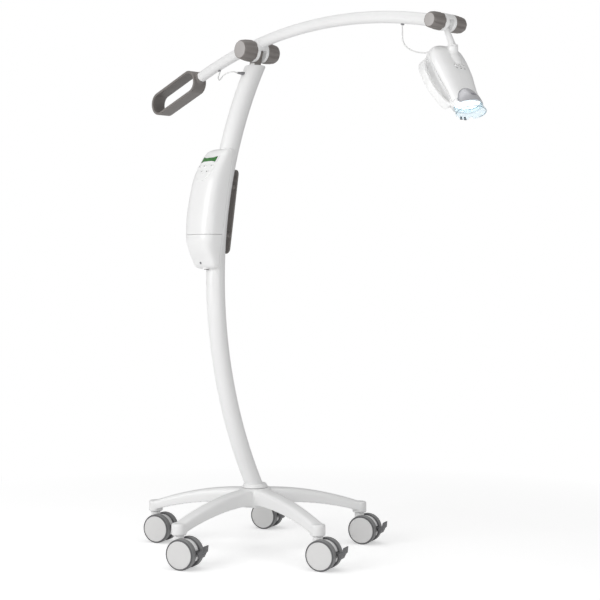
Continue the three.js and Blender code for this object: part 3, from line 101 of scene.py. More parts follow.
def noise(nodes, links, scale, detail, stretch=None):
    texture = give(nodes.new("ShaderNodeTexNoise"), {"Scale": scale, "Detail": detail})
    source = nodes.new("ShaderNodeTexCoord").outputs["Object"]
    if stretch:
        mapping = give(nodes.new("ShaderNodeMapping"), {"Scale": stretch})
        links.new(source, mapping.inputs["Vector"])
        source = mapping.outputs["Vector"]
    links.new(source, texture.inputs["Vector"])
    return texture.outputs["Fac"]


def spread(nodes, links, factor, low, high):
    limits = {"From Min": 0.3, "From Max": 0.7, "To Min": low, "To Max": high}
    span = give(nodes.new("ShaderNodeMapRange"), limits)
    links.new(factor, span.inputs["Value"])
    return span.outputs["Result"]


def either(nodes, links, first, second):
    largest = nodes.new("ShaderNodeMath")
    largest.operation = "MAXIMUM"
    links.new(first, largest.inputs[0])
    links.new(second, largest.inputs[1])
    return largest.outputs[0]


def mixed(nodes, links, share, first, second):
    mix = nodes.new("ShaderNodeMixShader")
    links.new(share, mix.inputs["Fac"])
    links.new(first.outputs[0], mix.inputs[1])
    links.new(second.outputs[0], mix.inputs[2])
    return mix


def finish_of(name, colour, rough, vary, grain, bump, depth, others=None, stretch=None):
    made, nodes, links, shader = nodes_of(name)
    mix = nodes.new("ShaderNodeMix")
    mix.data_type = "RGBA"
    darker, lighter = [c * (1 - vary) for c in colour], [min(1, c * (1 + vary)) for c in colour]
    give(mix, {"A": (*darker, 1), "B": (*lighter, 1)})
    links.new(spread(nodes, links, noise(nodes, links, 9, 4), 0, 1), mix.inputs["Factor"])
    links.new(mix.outputs["Result"], shader.inputs["Base Color"])
    fine = noise(nodes, links, grain, 2, stretch)
    rough_spread = spread(nodes, links, fine, rough * 0.92, min(1, rough * 1.08))
    links.new(rough_spread, shader.inputs["Roughness"])
    relief = give(nodes.new("ShaderNodeBump"), {"Strength": bump, "Distance": depth * MM})
    links.new(fine, relief.inputs["Height"])
    links.new(relief.outputs["Normal"], shader.inputs["Normal"])
    give(shader, others or {})
    return made


# Rows of name, colour, roughness, variation, grain, strength and depth of the relief, other inputs, stretch
FINISHES = {
    "white_paint": (
        "satin_powder_coat", (0.88, 0.88, 0.878), 0.34, 0.012, 420, 0.01, 0.1, {"Coat Weight": 0.15},
    ),
    "white_shell": ("white_moulding", (0.89, 0.89, 0.888), 0.3, 0.012, 1500, 0.01, 0.1, {"Coat Weight": 0.1}),
    "grip_grey": ("soft_grey_moulding", (0.205, 0.188, 0.178), 0.5, 0.04, 1700, 0.01, 0.1),
    "face_grey": ("knob_face_moulding", (0.44, 0.42, 0.41), 0.42, 0.03, 1500, 0.04, 0.2),
    "wheel_grey": ("wheel_tread", (0.27, 0.27, 0.272), 0.6, 0.05, 700, 0.1, 0.2),
    "cap_grey": ("wheel_cap_moulding", (0.74, 0.735, 0.73), 0.36, 0.02, 1400, 0.04, 0.2),
    "pedal_grey": ("pedal_moulding", (0.13, 0.13, 0.135), 0.5, 0.06, 1200, 0.2, 0.4),
    "steel": ("plated_steel", (0.55, 0.56, 0.57), 0.3, 0.05, 600, 0.08, 0.4, {"Metallic": 1.0}, (1, 1, 12)),
    "visor_silver": (
        "silver_reflector", (0.6, 0.6, 0.625), 0.3, 0.02, 900, 0.004, 0.1,
        {"Metallic": 0.4, "Coat Weight": 0.2},
    ),
    "clear_guard": ("clear_guard_moulding", (0.72, 0.87, 0.95), 0.1, 0.01, 300, 0.003, 0.1, {"Alpha": 0.3}),
    "lens_glass": (
        "lit_window", (0.92, 0.98, 1.0), 0.1, 0.01, 300, 0.003, 0.1,
        {"Emission Color": (0.88, 0.98, 1.0, 1), "Emission Strength": 1.5},
    ),
    "module_metal": ("module_plate", (0.7, 0.71, 0.73), 0.3, 0.03, 900, 0.04, 0.4, {"Metallic": 0.9}),
    "display_green": (
        "lit_display", (0.03, 0.15, 0.03), 0.18, 0.06, 500, 0.02, 0.4,
        {"Coat Weight": 0.6, "Emission Color": (0.06, 0.3, 0.05, 1), "Emission Strength": 0.2},
    ),
    "display_dark": ("display_segments", (0.012, 0.05, 0.01), 0.3, 0.05, 900, 0.02, 0.4),
    "key_grey": ("key_moulding", (0.5, 0.5, 0.51), 0.4, 0.03, 1400, 0.08, 0.4),
    "mark_grey": ("printed_mark", (0.08, 0.08, 0.085), 0.45, 0.05, 1200, 0.05, 0.4),
    "lead_white": ("lead_jacket", (0.82, 0.82, 0.815), 0.45, 0.02, 1200, 0.03, 0.1),
    "inlet_dark": ("inlet_moulding", (0.02, 0.02, 0.022), 0.4, 0.05, 1000, 0.1, 0.4),
    "slot_grey": ("visor_slot_moulding", (0.3, 0.29, 0.32), 0.4, 0.04, 1200, 0.08, 0.4),
    "guard_edge": ("guard_edge_moulding", (0.24, 0.36, 0.43), 0.2, 0.03, 600, 0.02, 0.4, {"Alpha": 0.85}),
    "trim_teal": ("aperture_trim", (0.06, 0.22, 0.28), 0.3, 0.05, 900, 0.02, 0.4),
    "ring_grey": ("wheel_ring_moulding", (0.12, 0.12, 0.125), 0.5, 0.05, 1200, 0.05, 0.4),
    "soft_mark": ("small_fitting", (0.25, 0.25, 0.26), 0.45, 0.05, 1200, 0.05, 0.4),
    "gasket": ("gasket_rubber", (0.06, 0.07, 0.08), 0.5, 0.05, 1000, 0.1, 0.4),
}
LOOKS = {look: finish_of(*row) for look, row in FINISHES.items()}


# Shapes: lists of points and faces
def between(table, value, column=1):
    # A smooth, never overshooting curve through the rows of a table
    xs = [row[0] for row in table]
    ys = [row[column] for row in table]
    if value <= xs[0]:
        return ys[0]
    if value >= xs[-1]:
        return ys[-1]
    slopes = [(ys[i + 1] - ys[i]) / (xs[i + 1] - xs[i]) for i in range(len(xs) - 1)]

    def tangent(i):
        if i == 0:
            return slopes[0]
        if i == len(xs) - 1:
            return slopes[-1]
        a, b = slopes[i - 1], slopes[i]
        return 0 if a * b <= 0 else 2 * a * b / (a + b)

    i = max(k for k in range(len(xs) - 1) if xs[k] <= value)
    h = xs[i + 1] - xs[i]
    t = (value - xs[i]) / h
    return (
        (2 * t**3 - 3 * t**2 + 1) * ys[i]
        + (t**3 - 2 * t**2 + t) * h * tangent(i)
        + (3 * t**2 - 2 * t**3) * ys[i + 1]
        + (t**3 - t**2) * h * tangent(i + 1)
    )


def loft(rings):
    # A skin over rings of equal count, closed at both ends
    sides = len(rings[0])
    points = [Vector(p) for ring in rings for p in ring]
    faces = []
    for ring in range(len(rings) - 1):
        for side in range(sides):
            a, b = ring * sides + side, ring * sides + (side + 1) % sides
            faces.append((a, b, b + sides, a + sides))
    last = (len(rings) - 1) * sides
    faces.append(tuple(reversed(range(sides))))
    faces.append(tuple(last + side for side in range(sides)))
    return points, faces


def tube_of(rings):
    # A closed loop of rings
    sides, count = len(rings[0]), len(rings)
    points = [Vector(p) for ring in rings for p in ring]
    faces = []
    for ring in range(count):
        for side in range(sides):
            a, b = ring * sides + side, ring * sides + (side + 1) % sides
            c, d = ((ring + 1) % count) * sides + (side + 1) % sides, ((ring + 1) % count) * sides + side
            faces.append((a, b, c, d))
    return points, faces


def join(*shapes):
    points, faces = [], []
    for shape_points, shape_faces in shapes:
        start = len(points)
        points += [Vector(p) for p in shape_points]
        faces += [tuple(start + i for i in face) for face in shape_faces]
    return points, faces


def placed(shape, matrix):
    return [matrix @ Vector(p) for p in shape[0]], list(shape[1])


def fillet(corners, radius, steps=4, closed=False):
    # Rounds the corners of a line of (a, b) points
    made = []
    count = len(corners)
    for i, corner in enumerate(corners):
        if not closed and i in (0, count - 1):
            made.append(tuple(corner))
            continue
        here = Vector(corner)
        before, after = Vector(corners[i - 1]) - here, Vector(corners[(i + 1) % count]) - here
        angle = before.angle(after)
        size = radius[i] if isinstance(radius, (list, tuple)) else radius
        if size <= 0 or angle > 3.1:
            made.append(tuple(corner))
            continue
        reach = min(size / math.tan(angle / 2), before.length * 0.49, after.length * 0.49)
        start, end = here + before.normalized() * reach, here + after.normalized() * reach
        for step in range(steps + 1):
            t = step / steps
            made.append(tuple(start * (1 - t) ** 2 + here * 2 * t * (1 - t) + end * t**2))
    return made


def circle(sides):
    turns = [2 * math.pi * n / sides for n in range(sides)]
    return [(math.cos(angle), math.sin(angle)) for angle in turns]


def revolve(profile, sides=64, matrix=Matrix()):
    # A profile of (radius, height) points, turned about z
    rings = [[(radius * c, radius * s, height) for c, s in circle(sides)] for radius, height in profile]
    closed = Vector(profile[0]) == Vector(profile[-1])
    return placed(tube_of(rings[:-1]) if closed else loft(rings), matrix)


def turned(profile, edges, sides=64, matrix=Matrix(), steps=4):
    return revolve(fillet(profile, edges, steps), sides, matrix)


def rod(radius, low, high, sides, matrix=Matrix(), edges=(0, 0), steps=4):
    profile = [(0, low), (radius, low), (radius, high), (0, high)]
    return turned(profile, [0, *edges, 0], sides, matrix, steps)


def inset_outline(outline, amount):
    made = []
    count = len(outline)
    for i in range(count):
        a, b, c = Vector(outline[i - 1]), Vector(outline[i]), Vector(outline[(i + 1) % count])
        along = (c - a).normalized()
        made.append((b.x - along.y * amount, b.y + along.x * amount))
    return made


def soft_plate(outline, thickness, edge, steps=3, matrix=Matrix()):
    # An anticlockwise outline with a thickness centred on z = 0 and rounded edges
    rings = []
    bends = [math.pi / 2 * k / steps for k in range(steps + 1)]
    levels = [(edge * (1 - math.sin(a)), -thickness / 2 + edge * (1 - math.cos(a))) for a in bends]
    levels += [(inset, -height) for inset, height in reversed(levels)]
    for inset, height in levels:
        rings.append([(x, y, height) for x, y in inset_outline(outline, inset)])
    return placed(loft(rings), matrix)


def arc(radius, start, end, steps, centre=(0, 0)):
    turns = [math.radians(start + (end - start) * k / steps) for k in range(steps + 1)]
    return [(centre[0] + radius * math.cos(a), centre[1] + radius * math.sin(a)) for a in turns]


def rectangle(half, rise, x=0, y=0):
    return [(x + half, y - rise), (x + half, y + rise), (x - half, y + rise), (x - half, y - rise)]


def stadium(length, width, steps):
    reach = (length - width) / 2
    return arc(width / 2, -90, 90, steps, (reach, 0)) + arc(width / 2, 90, 270, steps, (-reach, 0))


def block(low, high):
    points = [
        Vector((x, y, z))
        for x in (low[0], high[0])
        for y in (low[1], high[1])
        for z in (low[2], high[2])
    ]
    return points, [(0, 1, 3, 2), (4, 6, 7, 5), (0, 4, 5, 1), (2, 3, 7, 6), (0, 2, 6, 4), (1, 5, 7, 3)]


def mesh_of(shape, name="scratch"):
    mesh = bpy.data.meshes.new(name)
    mesh.from_pydata([tuple(p) for p in shape[0]], [], [tuple(f) for f in shape[1]])
    made = bmesh.new()
    made.from_mesh(mesh)
    bmesh.ops.remove_doubles(made, verts=made.verts, dist=0.0005)
    bmesh.ops.dissolve_degenerate(made, edges=made.edges, dist=0.0001)
    bmesh.ops.recalc_face_normals(made, faces=made.faces)
    made.to_mesh(mesh)
    made.free()
    return mesh


def shape_of(mesh):
    return [v.co.copy() for v in mesh.vertices], [tuple(p.vertices) for p in mesh.polygons]


def modified(shape, *changes):
    # The shape after modifiers, each given as (type, {setting: value})
    carrier = bpy.data.objects.new("scratch", mesh_of(shape))
    bpy.context.scene.collection.objects.link(carrier)
    for kind, settings in changes:
        modifier = carrier.modifiers.new(kind, kind)
        for key, value in settings.items():
            setattr(modifier, key, value)
    bpy.context.view_layer.update()
    result = bpy.data.meshes.new_from_object(carrier.evaluated_get(bpy.context.evaluated_depsgraph_get()))
    made = shape_of(result)
    mesh = carrier.data
    bpy.data.objects.remove(carrier)
    bpy.data.meshes.remove(mesh)
    bpy.data.meshes.remove(result)
    return made


def boolean(shape, tool, operation):
    cutter = bpy.data.objects.new("scratch_tool", mesh_of(tool))
    bpy.context.scene.collection.objects.link(cutter)
    for solver in ("MANIFOLD", "EXACT"):
        made = modified(shape, ("BOOLEAN", {"operation": operation, "object": cutter, "solver": solver}))
        if len(made[1]) > 4:
            break
    mesh = cutter.data
    bpy.data.objects.remove(cutter)
    bpy.data.meshes.remove(mesh)
    return made


def cut(shape, tool):
    return boolean(shape, tool, "DIFFERENCE")


def fuse(shape, *others):
    for other in others:
        shape = boolean(shape, other, "UNION")
    return shape


def cast(shape, voxel, rounds):
    # One skin over all of it, with softened inner and outer corners, as a casting has
    return modified(
        shape,
        ("REMESH", {"mode": "VOXEL", "voxel_size": voxel}),
        ("SMOOTH", {"factor": 0.5, "iterations": rounds}),
    )


def trimmed(shape, point, normal):
    # The part of the shape behind a plane, closed where it was cut
    mesh = mesh_of(shape)
    made = bmesh.new()
    made.from_mesh(mesh)
    sliced = bmesh.ops.bisect_plane(
        made, geom=[*made.verts, *made.edges, *made.faces], dist=0.0005, plane_co=point, plane_no=normal,
        clear_outer=True,
    )
    edges = [e for e in sliced["geom_cut"] if isinstance(e, bmesh.types.BMEdge)]
    bmesh.ops.contextual_create(made, geom=edges)
    made.to_mesh(mesh)
    made.free()
    result = shape_of(mesh)
    bpy.data.meshes.remove(mesh)
    return result


def make(name, shape, body, look, replaced=(), sharp=38, soften=None):
    mesh = mesh_of(shape, name)
    mesh.transform(TO_FRAME)
    mesh.materials.append(LOOKS[look])
    mesh.shade_smooth()
    mesh.set_sharp_from_angle(angle=math.radians(sharp))
    made = bpy.data.objects.new(name, mesh)
    bpy.context.scene.collection.objects.link(made)
    if soften:
        bevel = made.modifiers.new("edges", "BEVEL")
        bevel.width = soften * MM
        bevel.segments = 2
        bevel.limit_method = "ANGLE"
        bevel.angle_limit = math.radians(sharp)
        bevel.harden_normals = False
    if body:
        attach(made, body)
    if replaced:
        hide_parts(*([replaced] if isinstance(replaced, str) else replaced))
    return made


# Boom line, one flat arc over the column
TILT, TILT_SET = 1284.0, 9.0
CROWN, CROWN_REACH, BOOM_ARC, BOOM_REAR = 1321.6, 244.0, 1510.0, -226.0
HEAD_PIVOT, BOOM_RADIUS = 655.0, 14.0


def boom_at(reach):
    return Vector((reach, 0, math.sqrt(BOOM_ARC**2 - (reach - CROWN_REACH) ** 2) - BOOM_ARC + CROWN))


def boom_slope(reach):
    return math.degrees(math.asin((reach - CROWN_REACH) / BOOM_ARC))


def boom_down(reach):
    drop = (reach - CROWN_REACH) / BOOM_ARC
    return Vector((-drop, 0, -math.sqrt(1 - drop**2)))


def boom_ring(reach, radius):
    up, side = -boom_down(reach), Vector((0, 1, 0))
    return [boom_at(reach) + radius * (side * c + up * s) for c, s in circle(48)]


def boom_part(start, end, steps, edge=0.0):
    radius, eased = BOOM_RADIUS, edge * 0.3
    rings = [boom_ring(start + (end - start) * k / steps, radius) for k in range(steps + 1)]
    if edge:
        rings[:1] = [boom_ring(start, radius - edge), boom_ring(start + eased, radius - eased)]
        rings[-1:] = [boom_ring(end - eased, radius - eased), boom_ring(end, radius - edge)]
    return loft(rings)


def across(x, height):
    return move(x, 0, height) @ turn("X", 90)


# Column line: an arc that bows to one side
COLUMN_LOW, COLUMN_HIGH, COLUMN_ARC = 160.3, 1246.0, 1199.0
COLUMN_HALF = (COLUMN_HIGH - COLUMN_LOW) / 2
COLUMN_MIDDLE = COLUMN_LOW + COLUMN_HALF
COLUMN_CENTRE = math.sqrt(COLUMN_ARC**2 - COLUMN_HALF**2)


def column_set(height):
    return COLUMN_CENTRE - math.sqrt(COLUMN_ARC**2 - (height - COLUMN_MIDDLE) ** 2)


def column_radius(height):
    return 22 + 3 * (height - COLUMN_LOW) / (COLUMN_HIGH - COLUMN_LOW)


# Leads: from under the boom back into the object, each made in two lengths
LEAD = 3.2
PIVOT_HEIGHT = boom_at(HEAD_PIVOT).z
SEAT_TOP = PIVOT_HEIGHT - 56.1
HEAD_TILT = -30
HEAD = move(HEAD_PIVOT + 66, 0, SEAT_TOP - 136.5) @ turn("Y", HEAD_TILT)
GLAND_HEIGHT = 1225.0
GLAND_RISE = (GLAND_HEIGHT - COLUMN_MIDDLE) / COLUMN_ARC
GLAND_SET = column_set(GLAND_HEIGHT) - column_radius(GLAND_HEIGHT) / math.sqrt(1 - GLAND_RISE**2)
GLAND_SEAT = move(0, GLAND_SET, GLAND_HEIGHT) @ turn("X", 90)
FRONT_EXIT, REAR_EXIT = HEAD_PIVOT - 128, -152


def smooth_line(points, spacing):
    # A centripetal spline through the points, in steps of nearly one length
    points = [Vector(p) for p in points]
    ends = [points[0] * 2 - points[1], *points, points[-1] * 2 - points[-2]]
    fine = []
    for i in range(len(points) - 1):
        p0, p1, p2, p3 = ends[i : i + 4]
        t1 = (p1 - p0).length ** 0.5
        t2 = t1 + (p2 - p1).length ** 0.5
        t3 = t2 + (p3 - p2).length ** 0.5
        for k in range(60):
            t = t1 + (t2 - t1) * k / 60
            a1 = p0 * ((t1 - t) / t1) + p1 * (t / t1)
            a2 = p1 * ((t2 - t) / (t2 - t1)) + p2 * ((t - t1) / (t2 - t1))
            a3 = p2 * ((t3 - t) / (t3 - t2)) + p3 * ((t - t2) / (t3 - t2))
            b1 = a1 * ((t2 - t) / t2) + a2 * (t / t2)
            b2 = a2 * ((t3 - t) / (t3 - t1)) + a3 * ((t - t1) / (t3 - t1))
            fine.append(b1 * ((t2 - t) / (t2 - t1)) + b2 * ((t - t1) / (t2 - t1)))
    fine.append(points[-1])
    runs = [0.0]
    for before, after in zip(fine, fine[1:]):
        runs.append(runs[-1] + (after - before).length)
    count = round(runs[-1] / spacing)
    line = []
    for k in range(count + 1):
        want = runs[-1] * k / count
        i = max(n for n in range(len(runs) - 1) if runs[n] <= want + 1e-9)
        share = (want - runs[i]) / (runs[i + 1] - runs[i])
        line.append(fine[i].lerp(fine[i + 1], min(1, share)))
    return line


def round_tube(line, radius, sides=16):
    side = Vector((0, 1, 0))
    rings = []
    for i, point in enumerate(line):
        run = (line[min(i + 1, len(line) - 1)] - line[max(i - 1, 0)]).normalized()
        side = (side - run * side.dot(run)).normalized()
        other = run.cross(side)
        rings.append([point + radius * (side * c + other * s) for c, s in circle(sides)])
    return loft(rings)


def lead(name, points, bodies, replaced, share):
    line = smooth_line(points, 2.5)
    middle = round(len(line) * share)
    parts = ((line[: middle + 1], bodies[:2]), (line[middle:], bodies[1:]))
    for n, (part, (first, second)) in enumerate(parts, 1):
        made = make(f"{name}_{n}", round_tube(part, LEAD / 2), None, "lead_white", replaced if n == 1 else ())
        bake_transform(made)


LEAD_SEAT, LEAD_STRAIGHT = 14.3, 20.9
front = boom_at(FRONT_EXIT)
head_rear = HEAD @ Vector((-5, 0, 158.3))
head_away = (turn("Y", HEAD_TILT) @ Vector((0, 0, 1))).normalized()
head_hang = (
    (-3.4, 0, -30.8), (-1.6, 0, -53.8), (10.8, 0, -69.3), (32.6, 0, -81.3),
    (57.6, 0, -88.1), (77, 0, -88.8), (91, 0, -81.8),
)
column_hang = (
    (-153, 0, 15), (-147, -4, 6), (-131, -14, 1), (-104, -32, -2),
    (-72, -53, -3.5), (-40, -72, -3), (-14, -79, -0.5), (-1, -70, 1.5),
)
lead(
    "head_lead",
    [
        front + boom_down(FRONT_EXIT) * LEAD_SEAT,
        front + boom_down(FRONT_EXIT) * LEAD_STRAIGHT,
        *[front + Vector(p) for p in head_hang],
        head_rear + head_away * LEAD,
        head_rear,
    ],
    ("boom", "neck", "head"),
    "lead_head",
    0.79,
)
rear_point = boom_at(REAR_EXIT)
gland_tip = GLAND_SEAT @ Vector((0, 0, 20.3))
lead(
    "column_lead",
    [
        rear_point + boom_down(REAR_EXIT) * LEAD_SEAT,
        rear_point + boom_down(REAR_EXIT) * LEAD_STRAIGHT,
        *[Vector((x, y, GLAND_HEIGHT + z)) for x, y, z in column_hang],
        gland_tip + Vector((0, -LEAD, 0)),
        gland_tip,
    ],
    ("boom", "swivel", "stand"),
    "lead_column",
    0.5,
)


# Base star: five legs and a hub in one casting
LEGS = [64 + 72 * n for n in range(5)]
LEG_ROOT, LEG_REACH = 24, 285
LEG_TOP, LEG_FALL, LEG_DEPTH, LEG_HALF = 158, 49, 42, 18.5
LEG_SIDE = [
    (0.93, 0.0), (0.985, 0.05), (1.0, 0.2), (1.0, 0.45), (0.985, 0.62),
    (0.93, 0.78), (0.83, 0.89), (0.66, 0.955), (0.45, 0.985), (0.2, 0.998),
]


def leg_rings(start, end, steps, inset, drop):
    rings = []
    for step in range(steps + 1):
        reach = start + (end - start) * step / steps
        share = (reach - LEG_ROOT) / (LEG_REACH - LEG_ROOT)
        top = LEG_TOP - LEG_FALL * share**1.9 - inset
        depth = LEG_DEPTH - 17 * share**0.8 + drop - inset
        half = LEG_HALF + 7.5 * (1 - share) ** 2 - (inset if drop else 0)
        outline = [(half * x, top - depth * (1 - z)) for x, z in LEG_SIDE]
        outline += [(-y, z) for y, z in reversed(outline)]
        rings.append([(reach, y, z) for y, z in outline])
    return rings


leg = loft(leg_rings(LEG_ROOT, LEG_REACH, 20, 0, 0))
leg = cut(leg, loft(leg_rings(52, 262, 12, 4, 4)))
leg = fuse(leg, rod(18.5, 80, 108.6, 40, move(LEG_REACH, 0, 0), edges=(2, 5)))
star = turned([(0, 112), (46, 112), (41, 159), (0, 159)], [0, 3, 4, 0], 72)
for angle in LEGS:
    star = fuse(star, placed(leg, turn("Z", angle)))
star = cut(star, cut(rod(34, 105, 126, 48), rod(23, 100, 130, 40)))
make("star_casting", cast(star, 2.0, 5), "stand", "white_paint", "base_star", sharp=60)
make(
    "foot_collar",
    turned([(0, 160), (33, 160), (33, 161.8), (29, 169.3), (0, 169.3)], [0, 0.6, 1, 1.8, 0], 72),
    "stand",
    "white_paint",
    "hub_collar",
)

# Casters
TRAIL, TRAIL_ANGLE, WHEEL = 16, 23, 37.5
PEDAL_SEAT = move(24, 0, 4)
wheel_side = fillet(
    [(4, 9), (33.5, 9), (37.5, 11.5), (37.5, 26), (35.2, 29.2), (33.9, 29.6), (33.9, 28), (4, 28)],
    [0, 1, 2.5, 3, 1, 0.3, 0.3, 0], 5,
)
tyre = revolve([*wheel_side, wheel_side[0]], 96)
tyre = join(tyre, placed(tyre, turn("X", 180)))
tyre = join(tyre, rod(5, -28.4, 28.4, 24))
cap = turned(
    [(0, 27), (33.4, 27), (33.4, 28.9), (31, 29.3), (20, 29.75), (0, 29.95)], [0, 0.2, 0.5, 0.6, 4, 0], 96,
)
caps = join(cap, placed(cap, turn("X", 180)))
ring = turned(
    [(33.2, 28.2), (34.0, 28.2), (36.7, 27.0), (36.9, 27.6), (35.0, 29.5), (33.2, 29.7), (33.2, 28.2)],
    [0, 0, 0, 0.4, 0.6, 0.3, 0], 96,
)
inner_ring = turned(
    [(33.0, 8.8), (35.0, 8.8), (36.9, 10.2), (37.2, 11.4), (36.4, 11.4), (33.0, 9.6), (33.0, 8.8)],
    [0, 0, 0.6, 0.3, 0, 0, 0], 96,
)
rings = join(*[placed(shape, spin) for shape in (ring, inner_ring) for spin in (Matrix(), turn("X", 180))])
hood_outline = arc(34.5, -28, 150, 40)
hood_outline += fillet([hood_outline[-1], (-29, 9), (-29, 0), (-9, -9), hood_outline[0]], 3, 4)[1:-1]
hood = soft_plate(hood_outline, 16, 1.6, 4, turn("X", 90))
hood = fuse(hood, rod(12.5, 20, 41.4, 40, move(-TRAIL, 0, 0), edges=(0, 1)))
hood = join(hood, rod(5.5, 41, 56, 24, move(-TRAIL, 0, 0)))
hood = cut(hood, soft_plate([(0, 0), *arc(36, -44, 29, 12)], 40, 0.01, 1, PEDAL_SEAT @ turn("X", 90)))
hood = cut(hood, rod(8, -20, 20, 40, PEDAL_SEAT @ turn("X", 90)))
arm = soft_plate(rectangle(15, 3, 15), 14, 0.8, 3, turn("X", 90))
tab_line = fillet(
    [(20.5, -12), (23.5, -12), (29, -1), (33, 3), (34.5, 18), (31.5, 18), (28, 6), (20.5, 3), (17.5, 0)],
    2, 5, closed=True,
)
pedal = join(
    rod(7.5, -7, 7, 40, turn("X", 90), edges=(1, 1)),
    arm,
    soft_plate(tab_line, 27, 1.1, 4, turn("X", 90)),
)
for n, angle in enumerate(LEGS, 1):
    a, t = math.radians(angle), math.radians(TRAIL_ANGLE)
    x, y = LEG_REACH * math.cos(a) + TRAIL * math.cos(t), LEG_REACH * math.sin(a) + TRAIL * math.sin(t)
    seat = move(x, y, WHEEL) @ turn("Z", TRAIL_ANGLE)
    axle = seat @ turn("X", 90)
    make(f"wheel_pair_{n}", placed(tyre, axle), f"caster_{n}_wheelset", "wheel_grey", f"caster_{n}_wheels")
    make(f"wheel_caps_{n}", placed(caps, axle), f"caster_{n}_wheelset", "cap_grey")
    make(f"wheel_rings_{n}", placed(rings, axle), f"caster_{n}_wheelset", "ring_grey")
    make(f"hood_{n}", placed(hood, seat), f"caster_{n}_fork", "white_shell", f"caster_{n}_hood", soften=0.4)
    make(
        f"brake_pedal_{n}", placed(pedal, seat @ PEDAL_SEAT), f"caster_{n}_brake", "pedal_grey",
        f"caster_{n}_pedal",
    )


# Column: a bowed tube that widens upwards
def column_ring(height, extra):
    rise = (height - COLUMN_MIDDLE) / COLUMN_ARC
    up = Vector((0, rise, math.sqrt(1 - rise**2)))
    side = Vector((1, 0, 0))
    back = up.cross(side)
    centre = Vector((0, column_set(height), height))
    radius = column_radius(height) + extra
    return [centre + radius * (side * c + back * s) for c, s in circle(64)]


def column_part(low, high, extra, steps):
    # Its rings run past both ends, which level planes then cut
    reach = 30
    rings = [column_ring(low - reach + (high - low + 2 * reach) * k / steps, extra) for k in range(steps + 1)]
    shape = trimmed(loft(rings), (0, 0, low), (0, 0, -1))
    return trimmed(shape, (0, 0, high), (0, 0, 1))


make("column_skin", column_part(161, COLUMN_HIGH, 0, 90), "stand", "white_paint", "column_tube", sharp=30)
make(
    "column_rim", column_part(COLUMN_HIGH + 0.2, 1248.3, -1.4, 12), "stand", "white_shell",
    "column_top_bush", soften=0.5,
)


# Yoke, boom castings and boom tubes
def drum(radius, half, edge, sides=72):
    return rod(radius, -half, half, sides, edges=(edge, edge), steps=5)


def fork(x, z, boss, eye, tube, slot, limits, sweep):
    # A boss on the boom, slotted for the piece that tilts in it as far as its limits
    seat, lay = move(x, 0, z), across(x, z)
    (wide, half, deep), (behind, ahead, reach) = slot, sweep
    shape = cut(fuse(placed(drum(*boss), lay), boom_part(*tube)), placed(drum(*eye), lay))
    shape = cut(shape, placed(block((-wide, -half, -deep), (wide, half, -0.05)), seat))
    for limit in limits:
        half += 0.06
        swept = block((-behind, -half, -reach), (ahead, half, 0.1))
        shape = cut(shape, placed(swept, seat @ turn("Y", limit)))
    return shape


tongue = soft_plate(
    [(-21.5, -34.8), (3.5, -34.8), (13, 0), *arc(13, 0, 180, 24)[1:-1], (-13, 0)], 18, 0.8, 3,
    across(TILT_SET, TILT),
)
make("yoke", join(tongue, rod(9, 1225, 1250, 32)), "swivel", "grip_grey", "swivel_yoke")
make("yoke_foot", rod(12.5, 1248.8, 1254.5, 48, edges=(1, 1)), "swivel", "white_paint")

hub = fork(
    TILT_SET, TILT, boss=(28, 18.5, 2.5), eye=(13.6, 9.6, 0.3), tube=(-42, 42, 12), slot=(28.6, 9.66, 60),
    limits=(-35, 40), sweep=(21.6, 13.2, 28.4),
)
make("hub_casting", cast(hub, 0.9, 6), "boom", "white_paint", "boom_hub", sharp=60)
TIP_START = HEAD_PIVOT - 19.5 - 10
make(
    "front_tube", boom_part(42.2, TIP_START - 0.2, 60, 0.5), "boom", "white_paint", "boom_front_tube",
    sharp=30,
)
make("rear_tube", boom_part(BOOM_REAR, -42.2, 24, 0.5), "boom", "white_paint", "boom_rear_tube", sharp=30)
tip = fork(
    HEAD_PIVOT, PIVOT_HEIGHT, boss=(19.5, 17.5, 2), eye=(9.6, 7.8, 0.3), tube=(TIP_START, HEAD_PIVOT, 6),
    slot=(20.3, 7.86, 40), limits=(-55, 40), sweep=(9.2, 13.9, 19.9),
)
make("tip_casting", cast(tip, 0.8, 5), "boom", "white_paint", "boom_tip", sharp=60)


# Clamping knobs: lobed cones with a lighter face
KNOB_SIDES, LOBE_RISE, LOBE_CUT = 144, 1.3, 2.6


def knob(root, face, length, pin):
    # Rows of height, radius and share of the lobes
    rows = [
        (0.0, root - 2.0, 0.2), (0.7, root - 0.7, 0.5), (2.2, root - 0.1, 0.8), (length * 0.3, root - 0.5, 1),
        (length * 0.6, (root + face) / 2 + 0.9, 1), (length - 4, face + 1.3, 0.7),
        (length - 0.8, face + 0.2, 0.2), (length - 0.3, face - 0.2, 0.05), (length, face - 0.6, 0),
    ]
    turns = [2 * math.pi * n / KNOB_SIDES for n in range(KNOB_SIDES)]
    rings = []
    for height, radius, lobe in rows:
        outs = [radius + lobe * LOBE_RISE * (1 - LOBE_CUT * abs(math.sin(4 * a)) ** 4) for a in turns]
        rings.append([(out * math.cos(a), out * math.sin(a), height) for out, a in zip(outs, turns)])
    body = loft(rings)
    return join(body, rod(4, -pin, 1, 32)) if pin else body


def knob_face(face, length):
    radius = face - 1.0
    return rod(radius, length - 1, length + 0.1, 72, edges=(0, 0.25), steps=3)


